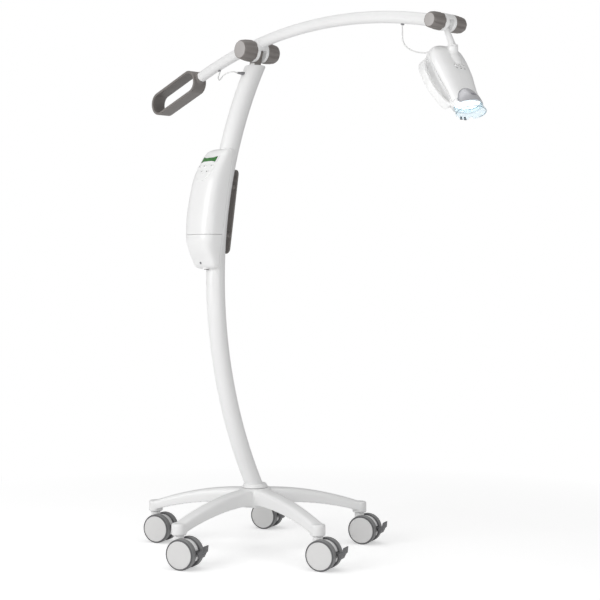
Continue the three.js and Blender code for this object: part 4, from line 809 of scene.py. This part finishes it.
KNOBS = (
    ("boom", TILT_SET, TILT, 18.8, (27.2, 22.2, 40)),
    ("head", HEAD_PIVOT, PIVOT_HEIGHT, 17.8, (19.2, 15.4, 36)),
)
for name, reach, height, set_out, (root, face, length) in KNOBS:
    for side, spin, pin in ((-1, 90, 2 * set_out + 12), (1, -90, 0)):
        seat = move(reach, side * set_out, height) @ turn("X", spin)
        hand = "left" if side < 0 else "right"
        body = f"{name}_knob_{hand}"
        make(f"{name}_clamp_{hand}", placed(knob(root, face, length, pin), seat), body, "grip_grey", body)
        make(f"{name}_clamp_face_{hand}", placed(knob_face(face, length), seat), body, "face_grey")


# Grip loop: a flat band bent to a stadium
LOOP_LENGTH, LOOP_DEPTH, LOOP_WIDTH, LOOP_WALL = 206, 63, 42, 7


def band_loop(length, depth, width, thickness, edge):
    middle = stadium(length - thickness, depth - thickness, 40)
    middle = [p for i, p in enumerate(middle) if Vector(p) != Vector(middle[i - 1])]
    reach = (length - depth) / 2
    straight = [(-reach + 2 * reach * k / 12, -(depth - thickness) / 2) for k in range(1, 12)]
    half = len(middle) // 2
    middle = straight + middle[:half] + [(-x, -y) for x, y in straight] + middle[half:]
    section = fillet(rectangle(thickness / 2, width / 2), edge, 4, closed=True)
    rings = []
    for i, point in enumerate(middle):
        ahead, behind = Vector(middle[(i + 1) % len(middle)]), Vector(middle[i - 1])
        along = (ahead - behind).normalized()
        out = Vector((along.y, -along.x))
        rings.append([(point[0] + out.x * a, point[1] + out.y * a, b) for a, b in section])
    return tube_of(rings)


rear = boom_at(BOOM_REAR)
loop_seat = Matrix.Translation(rear) @ turn("Y", boom_slope(BOOM_REAR))
loop_middle = -11 - (LOOP_LENGTH - LOOP_WALL) / 2
loop = placed(
    band_loop(LOOP_LENGTH, LOOP_DEPTH, LOOP_WIDTH, LOOP_WALL, 2.9),
    loop_seat @ move(loop_middle, 0, 0) @ turn("X", 90),
)
boss = turned(
    [(0, 0.3), (16, 0.3), (16, 9), (20, 15), (0, 16.5)], [0, 1, 5, 2, 0], 56, loop_seat @ turn("Y", -90),
    steps=5,
)
loop_inside = inset_outline(stadium(LOOP_LENGTH, LOOP_DEPTH, 24), LOOP_WALL - 0.2)
boss = cut(boss, soft_plate(loop_inside, 90, 0.01, 1, loop_seat @ move(loop_middle, 0, 0) @ turn("X", 90)))
make("grip_band", join(loop, boss), "boom", "grip_grey", "handle_loop")

# Neck of the head
NECK_FOOT = HEAD_PIVOT + 21
NECK_SEAT = move(NECK_FOOT, 0, SEAT_TOP)
neck_rows = [
    (PIVOT_HEIGHT + 6, HEAD_PIVOT - 0.5, 5.2), (PIVOT_HEIGHT - 9, HEAD_PIVOT - 0.4, 5.9),
    (PIVOT_HEIGHT - 32, HEAD_PIVOT + 10.4, 7.0), (SEAT_TOP + 6, NECK_FOOT - 2, 7.9),
    (SEAT_TOP + 3, NECK_FOOT - 0.6, 8.6),
]
neck = loft([[(x + r * c, r * s, z) for c, s in circle(48)] for z, x, r in neck_rows])
flange = turned(
    [(0, 0.3), (11.5, 0.3), (11.5, 3.4), (9.4, 4.3), (0, 5.2)], [0, 0.6, 0.8, 0.8, 0], 56, NECK_SEAT,
)
make(
    "neck_casting",
    join(
        neck,
        placed(drum(8.8, 7.2, 0.8, 48), across(HEAD_PIVOT, PIVOT_HEIGHT)),
        flange,
        rod(5, -13.7, 1, 32, NECK_SEAT),
    ),
    "neck",
    "white_paint",
    "neck",
    sharp=45,
)


# Control box: smooth sections that follow the column
BOX_LOW, BOX_SEAM, BOX_HIGH = 723.0, 808.0, 1026.0
BOX_HALF, BOX_FRONT, BOX_BACK, TRAY = 54.0, 75.0, 15.0, 23.0
# Rows of the share of the height, then of the half width and the front
BOX_TABLE = [
    (0, 0.7, 0.5), (0.023, 0.78, 0.58), (0.073, 0.82, 0.68), (0.142, 0.85, 0.84), (0.254, 0.93, 0.98),
    (0.442, 1, 1), (0.726, 0.985, 0.947), (0.924, 0.89, 0.7), (0.974, 0.8, 0.6), (1, 0.68, 0.5),
]
SIDE_COUNT, SKIN_EDGE, SEAM_GAP = 30, 0.35, 0.35
COVER_BACK = TRAY + 0.4


def box_share(height):
    return (height - BOX_LOW) / (BOX_HIGH - BOX_LOW)


def box_front(height):
    return BOX_FRONT * between(BOX_TABLE, box_share(height), 2)


def box_half(height):
    return BOX_HALF * between(BOX_TABLE, box_share(height), 1)


def box_ring(height, shrink=0.0):
    # A closed section between the front skin and a flat back
    half, front = box_half(height), box_front(height)
    line = []
    for k in range(SIDE_COUNT + 1):
        angle = math.pi / 2 * k / SIDE_COUNT
        wide = half * math.sin(angle) ** 0.62
        deep = BOX_BACK + (front - BOX_BACK) * math.cos(angle) ** 0.42
        line.append((max(0, wide - shrink), max(COVER_BACK, deep - shrink)))
    line.append((line[-1][0], COVER_BACK))
    full = line + [(-x, d) for x, d in reversed(line[1:])]
    return [(x, column_set(height) - depth, height) for x, depth in full]


def eases(size):
    # Rise and shrink of the rings that round an end
    return [(size * (1 - math.cos(a)), size * (1 - math.sin(a))) for a in (0, 0.5, 1.0)]


def box_part(low, high, steps, round_low, round_high):
    # One end is rounded, and the other, at the seam, has only a small edge
    first, last = low + (round_low or 0.6), high - (round_high or 0.6)
    rings = [box_ring(first + (last - first) * k / steps) for k in range(steps + 1)]
    if round_low:
        rings[:0] = [box_ring(low + rise, shrink) for rise, shrink in eases(round_low)]
        rings += [box_ring(high - SKIN_EDGE), box_ring(high, SKIN_EDGE)]
    else:
        rings[:0] = [box_ring(low, SKIN_EDGE), box_ring(low + SKIN_EDGE)]
        rings += [box_ring(high - rise, shrink) for rise, shrink in reversed(eases(round_high))]
    return loft(rings)


GROOVE = column_part(BOX_LOW - 10, BOX_HIGH + 10, 0.25, 40)
front_cover = box_part(BOX_SEAM + SEAM_GAP, BOX_HIGH, 60, 0, 7)
lower_cover = box_part(BOX_LOW, BOX_SEAM - SEAM_GAP, 26, 8, 0)
make("front_cover", cut(front_cover, GROOVE), "stand", "white_shell", "box_front_cover", sharp=32)
make("lower_cover", cut(lower_cover, GROOVE), "stand", "white_shell", "box_lower_cover", sharp=32)


def back_ring(height, shrink=0.0):
    half = box_half(height) - shrink
    deep = [(half, TRAY - 0.2), (half, TRAY - 1.5), (half, BOX_BACK + 4)]
    deep += [(half - 1.2, BOX_BACK + 1.2), (half - 4, BOX_BACK)]
    full = deep + [(-x, d) for x, d in reversed(deep)]
    return [(x, column_set(height) - depth, height) for x, depth in full]


BACK_STEPS, BACK_EASE = 60, 4
back_stops = [BOX_LOW + 5 + (BOX_HIGH - BOX_LOW - 10) * k / BACK_STEPS for k in range(BACK_STEPS + 1)]
back_rings = [back_ring(BOX_LOW + rise, shrink) for rise, shrink in eases(BACK_EASE)]
back_rings += [back_ring(height) for height in back_stops]
back_rings += [back_ring(BOX_HIGH - rise, shrink) for rise, shrink in reversed(eases(BACK_EASE))]
make("back_tray", cut(loft(back_rings), GROOVE), "stand", "white_shell", "box_back_shell", sharp=40)

# Panel on the cover's upper front
LEAN = math.radians(28.4)
PANEL_HEIGHT = 973.0
RIGHT = Vector((1, 0, 0))
UP = Vector((0, math.sin(LEAN), math.cos(LEAN)))
OUT = Vector((0, -math.cos(LEAN), math.sin(LEAN)))
PANEL_ORIGIN = Vector((0, column_set(PANEL_HEIGHT) - box_front(PANEL_HEIGHT), PANEL_HEIGHT))
PANEL = Matrix((
    (RIGHT.x, UP.x, OUT.x, PANEL_ORIGIN.x),
    (RIGHT.y, UP.y, OUT.y, PANEL_ORIGIN.y),
    (RIGHT.z, UP.z, OUT.z, PANEL_ORIGIN.z),
    (0, 0, 0, 1),
))
SKIN = BVHTree.FromPolygons([tuple(p) for p in front_cover[0]], front_cover[1])


def panel_point(x, up, lift=0.0):
    # A point on the cover's skin under a place of the panel
    start = PANEL_ORIGIN + RIGHT * x + UP * up + OUT * 40
    hit = SKIN.ray_cast(start, -OUT)[0]
    return (hit or start - OUT * 40) + OUT * lift


def on_skin(outline, low, high, edge, rings_in):
    # A thin piece with this outline that follows the skin between two lifts
    middle = Vector((sum(p[0] for p in outline), sum(p[1] for p in outline))) / len(outline)

    def row(inset, lift):
        return [panel_point(x, y, lift) for x, y in inset_outline(outline, inset)]

    rows = [row(0, low), row(0, high - edge), row(edge * 0.35, high - edge * 0.3), row(edge, high)]
    inner = inset_outline(outline, edge)
    for k in range(1, rings_in):
        t = 1 - k / rings_in
        spots = [(middle.x + (x - middle.x) * t, middle.y + (y - middle.y) * t) for x, y in inner]
        rows.append([panel_point(x, y, high) for x, y in spots])
    return loft(rows)


SHIELD_HALF, SHIELD_TOP, SHIELD_BOTTOM = 33, 14, 35
SHIELD_SIDE = [(1, 1), (1, 0.1), (0.9, -0.4), (0.62, -0.78), (0.25, -0.97)]


def on_shield(wide, up):
    return SHIELD_HALF * wide, (SHIELD_TOP if up > 0 else SHIELD_BOTTOM) * up


shield = [
    on_shield(x, y)
    for x, y in [(-1, 1), *SHIELD_SIDE, *[(-x, y) for x, y in reversed(SHIELD_SIDE[1:])]]
]
shield = fillet(list(reversed(shield)), [9, 9, 16, 16, 16, 9, 9, 3, 3, 9], 5, closed=True)
make("key_shield", on_skin(shield, -1.0, 1.5, 0.7, 12), "stand", "white_shell", "key_plate", sharp=50)


LCD = 28.0


def rounded_box(half, rise, corner):
    return fillet(rectangle(half, rise, y=LCD), corner, 6, closed=True)


make(
    "display_frame", on_skin(rounded_box(31.5, 11.5, 3.5), -1.0, 2.1, 0.9, 10), "stand", "white_shell",
    "lcd_frame", sharp=50,
)
make(
    "display_window", on_skin(rounded_box(27.0, 7.4, 0.9), 1.6, 2.35, 0.2, 10), "stand", "display_green",
    "lcd_window", sharp=50,
)
make(
    "display_border", on_skin(rounded_box(28.8, 9.0, 1.4), 1.5, 2.2, 0.1, 10), "stand", "display_dark",
    sharp=50,
)
SEGMENTS = {"0": "abcdef", "1": "bc", "2": "abged", "5": "afgcd", "8": "abcdefg"}
# Place of each segment in its digit, and whether it lies flat
SEGMENT_PLACE = {
    "a": (0, 1, True), "b": (1, 0.5, False), "c": (1, -0.5, False), "d": (0, -1, True),
    "e": (-1, -0.5, False), "f": (-1, 0.5, False), "g": (0, 0, True),
}
digits = []
for place, letter in ((-19, "0"), (-12.5, "8"), (-3.5, "1"), (3, "5"), (12.5, "2"), (19, "0")):
    for segment in SEGMENTS[letter]:
        wide, up, flat = SEGMENT_PLACE[segment]
        x, y = place + wide * 1.9, LCD + up * 3.6
        half, rise = (1.6, 0.42) if flat else (0.42, 1.45)
        corners = rectangle(half, rise, x, y)
        digits.append(loft([[panel_point(a, b, lift) for a, b in corners] for lift in (2.3, 2.45)]))
make("display_digits", join(*digits), "stand", "display_dark")

BUTTONS = ((-0.68, 0.5), (-0.1, 0.5), (0.72, 0.5), (-0.14, -0.28), (0.5, -0.28))
button_cap = turned([(0, -6), (4.2, -6), (4.2, 1.5), (3.4, 2.0), (0, 2.2)], [0, 0, 0.5, 0.8, 0], 48)
MARKS = (
    rectangle(2.2, 0.6),
    [(-2.0, -1.4), (2.0, -1.4), (0, 1.9)],
    [(2.0, 1.4), (-2.0, 1.4), (0, -1.9)],
    [(-1.5, -2.0), (1.9, 0), (-1.5, 2.0)],
    arc(1.8, 0, 345, 23),
)
for n, ((wide, up), mark) in enumerate(zip(BUTTONS, MARKS), 1):
    x, y = on_shield(wide, up)
    seat = Matrix.Translation(panel_point(x, y, 1.5)) @ Matrix.Translation(-PANEL_ORIGIN) @ PANEL
    make(f"panel_key_{n}", placed(button_cap, seat), f"panel_button_{n}", "white_shell", f"panel_button_{n}")
    printed = loft([[(a, b, z) for a, b in mark] for z in (1.9, 2.27)])
    make(f"panel_key_mark_{n}", placed(printed, seat), f"panel_button_{n}", "mark_grey")

# Screw of the lower cover and the inlet under it
SCREW_HEIGHT = 738.0
screw_seat = move(0, column_set(SCREW_HEIGHT) - box_front(SCREW_HEIGHT), SCREW_HEIGHT) @ turn("X", 90)
screw = turned([(0, -4), (3.4, -4), (3.4, 0.9), (0, 1.1)], [0, 0, 0.6, 0], 40)
screw = cut(screw, block((-5, -0.45, 0.3), (5, 0.45, 3)))
make("cover_screw_head", placed(screw, screw_seat), "stand", "soft_mark", "cover_screw", sharp=30)
INLET_RADIUS, INLET_ROOT, GAP = 5.5, 12.0, 0.3
inlet_rear = min(column_set(BOX_LOW), column_set(BOX_LOW + INLET_ROOT))
inlet_seat = move(0, inlet_rear - column_radius(BOX_LOW) - INLET_RADIUS - 2 * GAP, BOX_LOW)
inlet = turned(
    [(1, 0), (1, 9), (3.2, 9), (3.2, -2), (5.5, -2), (5.5, 12), (0.0, 12), (0.0, 0), (1, 0)],
    [0, 0, 0, 0.4, 0.4, 0, 0, 0, 0], 40, inlet_seat,
)
make("inlet_socket", inlet, "stand", "inlet_dark", "power_inlet", sharp=30)
ring = turned([(5.7, -0.6), (8.2, -0.6), (8.2, 3), (5.7, 3), (5.7, -0.6)], 0.2, 48, inlet_seat)
make("inlet_ring", ring, "stand", "white_shell")

# Cord cleat behind the column
CLEAT_LOW, CLEAT_HIGH = 767.0, 982.0
cleat_middle = (CLEAT_LOW + CLEAT_HIGH) / 2
cleat_lean = math.atan((column_set(CLEAT_HIGH) - column_set(CLEAT_LOW)) / (CLEAT_HIGH - CLEAT_LOW))
UPRIGHT = Matrix(((0, 1, 0, 0), (0, 0, 1, 0), (1, 0, 0, 0), (0, 0, 0, 1)))
CLEAT = move(0, column_set(cleat_middle), cleat_middle) @ Matrix.Rotation(-cleat_lean, 4, "X") @ UPRIGHT
cleat_length = (CLEAT_HIGH - CLEAT_LOW) / math.cos(cleat_lean)
plate = soft_plate(stadium(cleat_length, 26, 24), 4, 1.4, 4, CLEAT @ move(0, 0, 38))
post_line = fillet([(0, 18), (6.5, 18), (6.5, 34), (9, 37), (0, 37)], [0, 0, 3, 0, 0])
post_set = cleat_length / 2 - 46
posts = [revolve(post_line, 40, CLEAT @ move(end * post_set, 0, 0)) for end in (-1, 1)]
make("winding_cleat", join(plate, *posts), "stand", "grip_grey", "cord_cleat")


# Lamp head, laid out from the middle of its light opening: x towards its front, z back along its axis
HEAD_LENGTH, HEAD_HALF, HEAD_FRONT, HEAD_BACK = 158, 50, 25, 40
SEAM, RIM, FAR = -4, 11, 320
OPENING_HALF, OPENING_DEPTH, OPENING_TAPER, OPENING_TOP = 41.6, 22.6, 0.14, 28.3
ARCH_RISE, KEY_SPACING, KEY_ALONG = 37, 12.5, 93
KEY_ROWS = (-KEY_SPACING, 0, KEY_SPACING)
# Rows of the share of the head's length, then of its half width, front and back
HEAD_TABLE = [
    (0, 0.88, 0.98, 0.64), (0.05, 0.88, 0.88, 0.67), (0.2, 0.87, 0.72, 0.73), (0.35, 0.92, 0.84, 0.84),
    (0.5, 0.98, 0.97, 0.94), (0.7, 1, 1, 1), (0.84, 0.96, 0.93, 0.97), (0.93, 0.82, 0.75, 0.83),
    (0.98, 0.62, 0.5, 0.6), (1, 0.4, 0.26, 0.34),
]


def oval(height, half, front, back, power=0.8):
    ring = []
    for c, s in circle(96):
        depth = (front if c > 0 else back) * abs(c) ** power
        ring.append((math.copysign(depth, c), math.copysign(half * abs(s) ** power, s), height))
    return ring


def head_ring(share):
    sizes = (HEAD_HALF, HEAD_FRONT, HEAD_BACK)
    return oval(
        HEAD_LENGTH * share, *[size * between(HEAD_TABLE, share, n) for n, size in enumerate(sizes, 1)],
    )


def cavity_ring(height, inset):
    # The light opening narrows towards the module
    narrow = 1 - OPENING_TAPER * height / OPENING_TOP
    half, depth = OPENING_HALF * narrow - inset, OPENING_DEPTH * narrow - inset
    return oval(height, half, depth, depth, 1.0)


def half_space(low=(-FAR, -FAR, -FAR), high=(FAR, FAR, FAR)):
    # A block that ends outside the head, but for the sides that are given
    return block(low, high)


head_stops = [k / 40 for k in range(37)] + [0.92, 0.94, 0.955, 0.97, 0.98, 0.985, 0.99, 0.995, 1.0]
head_body = loft([head_ring(share) for share in head_stops])
cavity = loft([cavity_ring(-RIM, 0), cavity_ring(OPENING_TOP, 0)])


def arch(extra):
    half, rise = OPENING_HALF + extra, ARCH_RISE + extra
    return loft([[(t, half * s, rise * c) for c, s in circle(96)] for t in (-1, 65)])


cover = cut(head_body, half_space(high=(SEAM + 0.1, FAR, FAR)))
cover = cut(cover, half_space(high=(FAR, FAR, RIM + 0.1)))
cover = cut(cut(cover, arch(0.1)), cavity)
NECK_IN_HEAD = HEAD.inverted() @ NECK_SEAT
seat_line = [(0, -44), (19, -44), (20, -34), (17, -24), (12.5, -17), (11.5, -12), (11.5, 0), (0, 0)]
cover = fuse(cover, turned(seat_line, [0, 2, 6, 8, 4, 3, 0.8, 0], 64, NECK_IN_HEAD, steps=6))
cover = cut(cover, rod(5.3, -14.3, 1, 40, NECK_IN_HEAD))
FACE_WISE = turn("Y", 90)
BUTTON_TOP = HEAD_FRONT * between(HEAD_TABLE, KEY_ALONG / HEAD_LENGTH, 2)
for row in KEY_ROWS:
    hole = rod(3.8, BUTTON_TOP - 9.4, 40, 32)
    cover = cut(cover, placed(hole, move(0, row, KEY_ALONG) @ FACE_WISE))
make("head_front_cover", placed(cast(cover, 0.85, 3), HEAD), "head", "white_shell", "head_cover", sharp=60)

# Rows of stop, share of the reach, share of the head's length
GRIP_PATH = [
    (0, 0.5, 0.84), (1, 0.76, 0.81), (2, 0.93, 0.73), (3, 1, 0.6),
    (4, 1, 0.44), (5, 0.92, 0.28), (6, 0.78, 0.15), (7, 0.58, 0.06),
]
GRIP_HALF = [(0, 12.5), (1, 11.5), (2, 10), (3, 9), (5, 9), (7, 10)]
GRIP_REACH, GRIP_INSIDE, GRIP_WALL, GRIP_SET, RIDGE_SET = 75, 4.25, 8.2, -20, -16
GRIP_STEPS, RIDGE_STEPS = 56, 32


def grip_side(side):
    # An ear: a band from the shoulder round to the nozzle, closed by a ridge along the body
    reach, thick = GRIP_REACH - GRIP_INSIDE, GRIP_WALL / 2
    stops = [7 * k / GRIP_STEPS for k in range(GRIP_STEPS + 1)]
    line = [(reach * between(GRIP_PATH, k), HEAD_LENGTH * between(GRIP_PATH, k, 2)) for k in stops]
    rings = []
    for i, (out, along) in enumerate(line):
        ahead, behind = Vector(line[min(i + 1, len(line) - 1)]), Vector(line[max(i - 1, 0)])
        run = (ahead - behind).normalized()
        away = Vector((-run.y, run.x))
        half = between(GRIP_HALF, stops[i])
        section = fillet(rectangle(thick, half), 3.6, 5, closed=True)
        rings.append([(GRIP_SET + b, side * (out + away.x * a), along + away.y * a) for a, b in section])
    ridge = []
    for k in range(RIDGE_STEPS + 1):
        share = 0.83 - 0.76 * k / RIDGE_STEPS
        half = HEAD_HALF * between(HEAD_TABLE, share, 1)
        lift = 3.2 * math.sin(math.pi * k / RIDGE_STEPS) ** 0.5 + 0.4
        section = fillet([(lift, -8.5), (lift, 8.5), (-9, 11), (-9, -11)], 2.6, 4, closed=True)
        ridge.append([(RIDGE_SET + b, side * (half - 3 + a), HEAD_LENGTH * share) for a, b in section])
    return loft(rings), loft(ridge)


shell = cut(head_body, half_space((SEAM - 0.4, -FAR, RIM - 0.4)))
for side in (1, -1):
    shell = fuse(shell, *grip_side(side))
front_arch = cut(arch(0.4), half_space(high=(SEAM - 0.4, FAR, FAR)))
shell = cut(cut(shell, cavity), front_arch)
shell = cut(shell, block((SEAM - 0.4, -46, RIM + 1), (FAR, 46, FAR)))
make("head_rear_shell", placed(cast(shell, 0.95, 4), HEAD), "head", "white_shell", "head_frame", sharp=60)

visor_rings = []
for k in range(25):
    rise = math.radians(90 * 0.84 * k / 24)
    depth = 27.2 * math.cos(rise)
    visor_rings.append(oval(ARCH_RISE * 1.3 * math.sin(rise), 40.4 * math.cos(rise), depth, depth, 1.0))
visor = loft(visor_rings)
visor = cut(visor, cut(half_space(), arch(-0.4)))
visor = cut(visor, half_space(high=(SEAM + 0.3, FAR, FAR)))
visor = cut(visor, loft([cavity_ring(-RIM, -0.4), cavity_ring(OPENING_TOP, -0.4)]))
slot_place = move(0, 0, 16) @ FACE_WISE @ turn("Z", 90)
visor = cut(visor, soft_plate(stadium(17, 6.4, 14), 6, 1, 3, move(24.6, 0, 0) @ slot_place))
make("visor_shell", placed(visor, HEAD), "head", "visor_silver", "visor_ring", sharp=40, soften=0.35)
slot = soft_plate(stadium(16.6, 6.0, 14), 2.4, 0.6, 3, HEAD @ move(22.6, 0, 0) @ slot_place)
make("visor_slot", slot, "head", "slot_grey")

# Light opening
lens_rings = [cavity_ring(9, 1.2), cavity_ring(8.7, 0.8), cavity_ring(9.4, 0.3), cavity_ring(12, 0.3)]
make("light_lens", placed(loft(lens_rings), HEAD), "head", "lens_glass", "aperture_lens")
board = loft([cavity_ring(24, 0.6), cavity_ring(27.6, 0.6)])
for wide in (-0.5, 0, 0.5):
    for depth in (-1, 1):
        spot = move(depth * 7.5, wide * OPENING_HALF, 0)
        lens_line = [(0, 20), (2.5, 20), (5, 22.4), (5, 25), (0, 25)]
        board = join(board, turned(lens_line, [0, 1, 1, 0, 0], 32, spot))
make("emitter_board", placed(board, HEAD), "head", "module_metal", "led_module")


GUARD_TOP, GUARD_FLARE = 6, [(-16, 4.9), (-4.8, 2.4), (-0.3, 0), (6, 0)]


def guard_rings(inset, low, high):
    less = OPENING_HALF * OPENING_TAPER * GUARD_TOP / OPENING_TOP + 0.3 + inset
    rings = []
    for k in range(25):
        height = low + (high - low) * k / 24
        flare = between(GUARD_FLARE, height)
        depth = OPENING_DEPTH + flare - less
        rings.append(oval(height, OPENING_HALF + flare - less, depth, depth, 1.0))
    return rings


guard = cut(loft(guard_rings(0, -15.8, 5.8)), loft(guard_rings(1.7, -18, 8)))
for side in (-1, 1):
    notch_place = move(-30, side * 22, -21.5) @ turn("Z", 90) @ turn("X", 90) @ turn("Z", 90)
    guard = cut(guard, soft_plate(stadium(22, 13, 16), 60, 0.01, 1, notch_place))
make("clear_guard", placed(guard, HEAD), "head", "clear_guard", "guard_lip", sharp=40, soften=0.3)
rim_back = -(OPENING_DEPTH + 4.9 - 1.5)
for side in (-1, 1):
    clip = fuse(
        soft_plate(
            [(-3.2, -3), (3.2, -3), (2.4, 3.4), (-2.4, 3.4)], 2.6, 0.5, 3, turn("X", 90) @ turn("Y", 90),
        ),
        soft_plate([(-1.6, -3.2), (1.6, -3.2), (1.2, 0.6), (-1.2, 0.6)], 3.4, 0.4, 3, move(1.2, 0, 1.6)),
    )
    hand = "right" if side > 0 else "left"
    clip_place = HEAD @ move(rim_back * 0.985, side * 6.5, -13.2) @ turn("Y", 12)
    make(f"guard_clip_{hand}", placed(clip, clip_place), "head", "gasket")

key_line = [(0, -7), (3, -7), (3, 0.6), (2.2, 0.95), (0, 1)]
bar = block((-0.4, -1.7, 0.9), (0.4, 1.7, 1.12))
cross = join(block((-0.35, -1.6, 0.9), (0.35, 1.6, 1.12)), block((-1.3, -0.3, 0.9), (1.3, 0.3, 1.1)))
for n, (row, marks) in enumerate(zip(KEY_ROWS, (bar, cross, bar)), 1):
    body = f"head_button_{n}"
    key_seat = HEAD @ move(BUTTON_TOP, row, KEY_ALONG) @ FACE_WISE
    make(f"head_key_{n}", turned(key_line, [0, 0, 0.7, 0.5, 0], 40, key_seat), body, "white_shell", body)
    make(f"head_key_mark_{n}", placed(marks, key_seat), body, "mark_grey")


def face_mark(row, half, low, high, rise, along):
    # A low bar that starts under the head's front face, whose place is taken at one length
    share = along / HEAD_LENGTH
    side, front = HEAD_HALF * between(HEAD_TABLE, share, 1), HEAD_FRONT * between(HEAD_TABLE, share, 2)
    face = front * math.sqrt(1 - (abs(row) / side) ** 2.5) ** 0.8
    return block((face - 0.6, row - half, low), (face + rise, row + half, high))


face_marks = [face_mark(row, 2.3, 84.3, 85.7, 0.16, 85) for row in KEY_ROWS]
face_marks += [face_mark(0, 2.6, 101, 102, 0.16, 101.5), face_mark(0, 1.4, 103, 103.8, 0.14, 101.5)]
make("head_face_marks", placed(join(*face_marks), HEAD), "head", "mark_grey")


# Edges of the guard and of the light opening
def edge_line(height, inset, start, end, count):
    half, depth = OPENING_HALF - inset, OPENING_DEPTH - inset
    turns = [math.radians(start + (end - start) * k / EDGE_STEPS) for k in range(count)]
    return [Vector((depth * math.cos(a), half * math.sin(a), height)) for a in turns]


def closed_bead(line, thickness):
    up = Vector((0, 0, 1))
    rings = []
    for i, point in enumerate(line):
        run = (line[(i + 1) % len(line)] - line[i - 1]).normalized()
        out = run.cross(up)
        rings.append([point + thickness * (out * c + up * s) for c, s in circle(10)])
    return tube_of(rings)


EDGE_STEPS = 144
trim = closed_bead(edge_line(7.4, 1.4, 0, 360, EDGE_STEPS), 0.8)
make("opening_trim", placed(trim, HEAD), "head", "trim_teal")
edge = round_tube(edge_line(-15.6, 3.3 - 4.7, -118, 118, EDGE_STEPS + 1), 0.75, 10)
make("guard_edge_line", placed(edge, HEAD), "head", "guard_edge")

# Gland and grommets of the leads
gland = turned(
    [(0, -4.5), (4.4, -4.5), (4.4, 5.5), (3.4, 11), (2.6, 20), (1.9, 20), (1.9, 12), (0, 12)],
    [0, 0, 1, 2, 0.4, 0.3, 0, 0], 40, GLAND_SEAT,
)
gland = cut(gland, column_part(1180, 1245, 0.1, 30))
make(
    "lead_gland", join(gland, rod(2.5, -5, 1, 24, GLAND_SEAT)), "stand", "soft_mark", "column_gland",
    sharp=45,
)


def grommet_seat(reach):
    place = boom_at(reach) + boom_down(reach) * BOOM_RADIUS
    return Matrix.Translation(place) @ turn("Y", boom_slope(reach) + 180)


grommet = fillet(
    [(1.9, -2.2), (3.0, -2.2), (3.0, 0.2), (4.2, 0.2), (4.2, 1.9), (3.0, 3.4), (1.9, 3.4), (1.9, -2.2)],
    [0, 0, 0, 0.3, 0.8, 0.5, 0.3, 0],
)
for name, reach in (("front", FRONT_EXIT), ("rear", REAR_EXIT)):
    ring = revolve(grommet, 40, grommet_seat(reach))
    make(f"lead_grommet_{name}", ring, "boom", "soft_mark", f"grommet_{name}")

# Bolt of the column, the one node of the CAD model that is seen as it is
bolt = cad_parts["column_bolt"]
bolt.data.materials.clear()
bolt.data.materials.append(LOOKS["steel"])


# Floor, backdrop and light
def stage_material():
    # Seen, the floor fades to plain white away from the object; the light it gives back is a grey floor's
    made, nodes, links, shader = nodes_of("floor_surface")
    give(shader, {"Base Color": (0.8, 0.8, 0.8, 1), "Roughness": 0.9})
    ray = nodes.new("ShaderNodeLightPath").outputs
    seen = either(nodes, links, ray["Is Camera Ray"], ray["Is Glossy Ray"])
    seen = either(nodes, links, seen, ray["Is Transmission Ray"])
    glow = give(nodes.new("ShaderNodeEmission"), {"Color": WHITE, "Strength": FLOOR_LIFT})
    lifted = nodes.new("ShaderNodeAddShader")
    links.new(shader.outputs[0], lifted.inputs[0])
    links.new(glow.outputs[0], lifted.inputs[1])
    plain = give(nodes.new("ShaderNodeEmission"), {"Color": WHITE, "Strength": 1})
    away = nodes.new("ShaderNodeVectorMath")
    away.operation = "LENGTH"
    links.new(nodes.new("ShaderNodeTexCoord").outputs["Object"], away.inputs[0])
    fade = give(nodes.new("ShaderNodeMapRange"), {"From Min": FADE_START, "From Max": FADE_END})
    links.new(away.outputs["Value"], fade.inputs["Value"])
    floor_seen = mixed(nodes, links, fade.outputs["Result"], lifted, plain)
    surface = mixed(nodes, links, seen, shader, floor_seen)
    links.new(surface.outputs[0], nodes["Material Output"].inputs["Surface"])
    return made


WHITE = (1, 1, 1, 1)
FLOOR_LIFT = 0.45
FADE_START, FADE_END = 0.8, 1.6
FLOOR_REACH = 14000
floor_mesh = bpy.data.meshes.new("floor")
floor_corners = [at(x * FLOOR_REACH, y * FLOOR_REACH, 0) for x, y in ((-1, -1), (1, -1), (1, 1), (-1, 1))]
floor_mesh.from_pydata(floor_corners, [], [(0, 1, 2, 3)])
floor_mesh.materials.append(stage_material())
floor = bpy.data.objects.new("floor", floor_mesh)
bpy.context.scene.collection.objects.link(floor)

world = bpy.data.worlds.new("studio")
bpy.context.scene.world = world
world.use_nodes = True
world_nodes, world_links = world.node_tree.nodes, world.node_tree.links
soft_light = give(world_nodes["Background"], {"Color": WHITE, "Strength": 0.36})
backdrop = give(world_nodes.new("ShaderNodeBackground"), {"Color": WHITE, "Strength": 1})
ray = world_nodes.new("ShaderNodeLightPath").outputs
seen = either(world_nodes, world_links, ray["Is Camera Ray"], ray["Is Transmission Ray"])
sky = mixed(world_nodes, world_links, seen, soft_light, backdrop)
world_links.new(sky.outputs[0], world_nodes["World Output"].inputs["Surface"])


def lamp(name, place, target, size, watts):
    data = bpy.data.lights.new(name, "AREA")
    data.shape = "SQUARE"
    data.size = size
    data.energy = watts
    made = bpy.data.objects.new(name, data)
    made.location = at(*place)
    made.rotation_euler = (at(*target) - made.location).to_track_quat("-Z", "Y").to_euler()
    bpy.context.scene.collection.objects.link(made)


lamp("key", (-300, -3000, 1500), (50, 0, 700), 2.0, 44)
lamp("top", (0, 0, 3600), (0, 0, 0), 3.0, 26)
lamp("fill", (2300, -1900, 900), (50, 0, 700), 1.6, 12)
lamp("head_fill", (1500, -250, 760), (740, 0, 1110), 0.5, 2.6)

bpy.context.scene.view_settings.view_transform = "Standard"
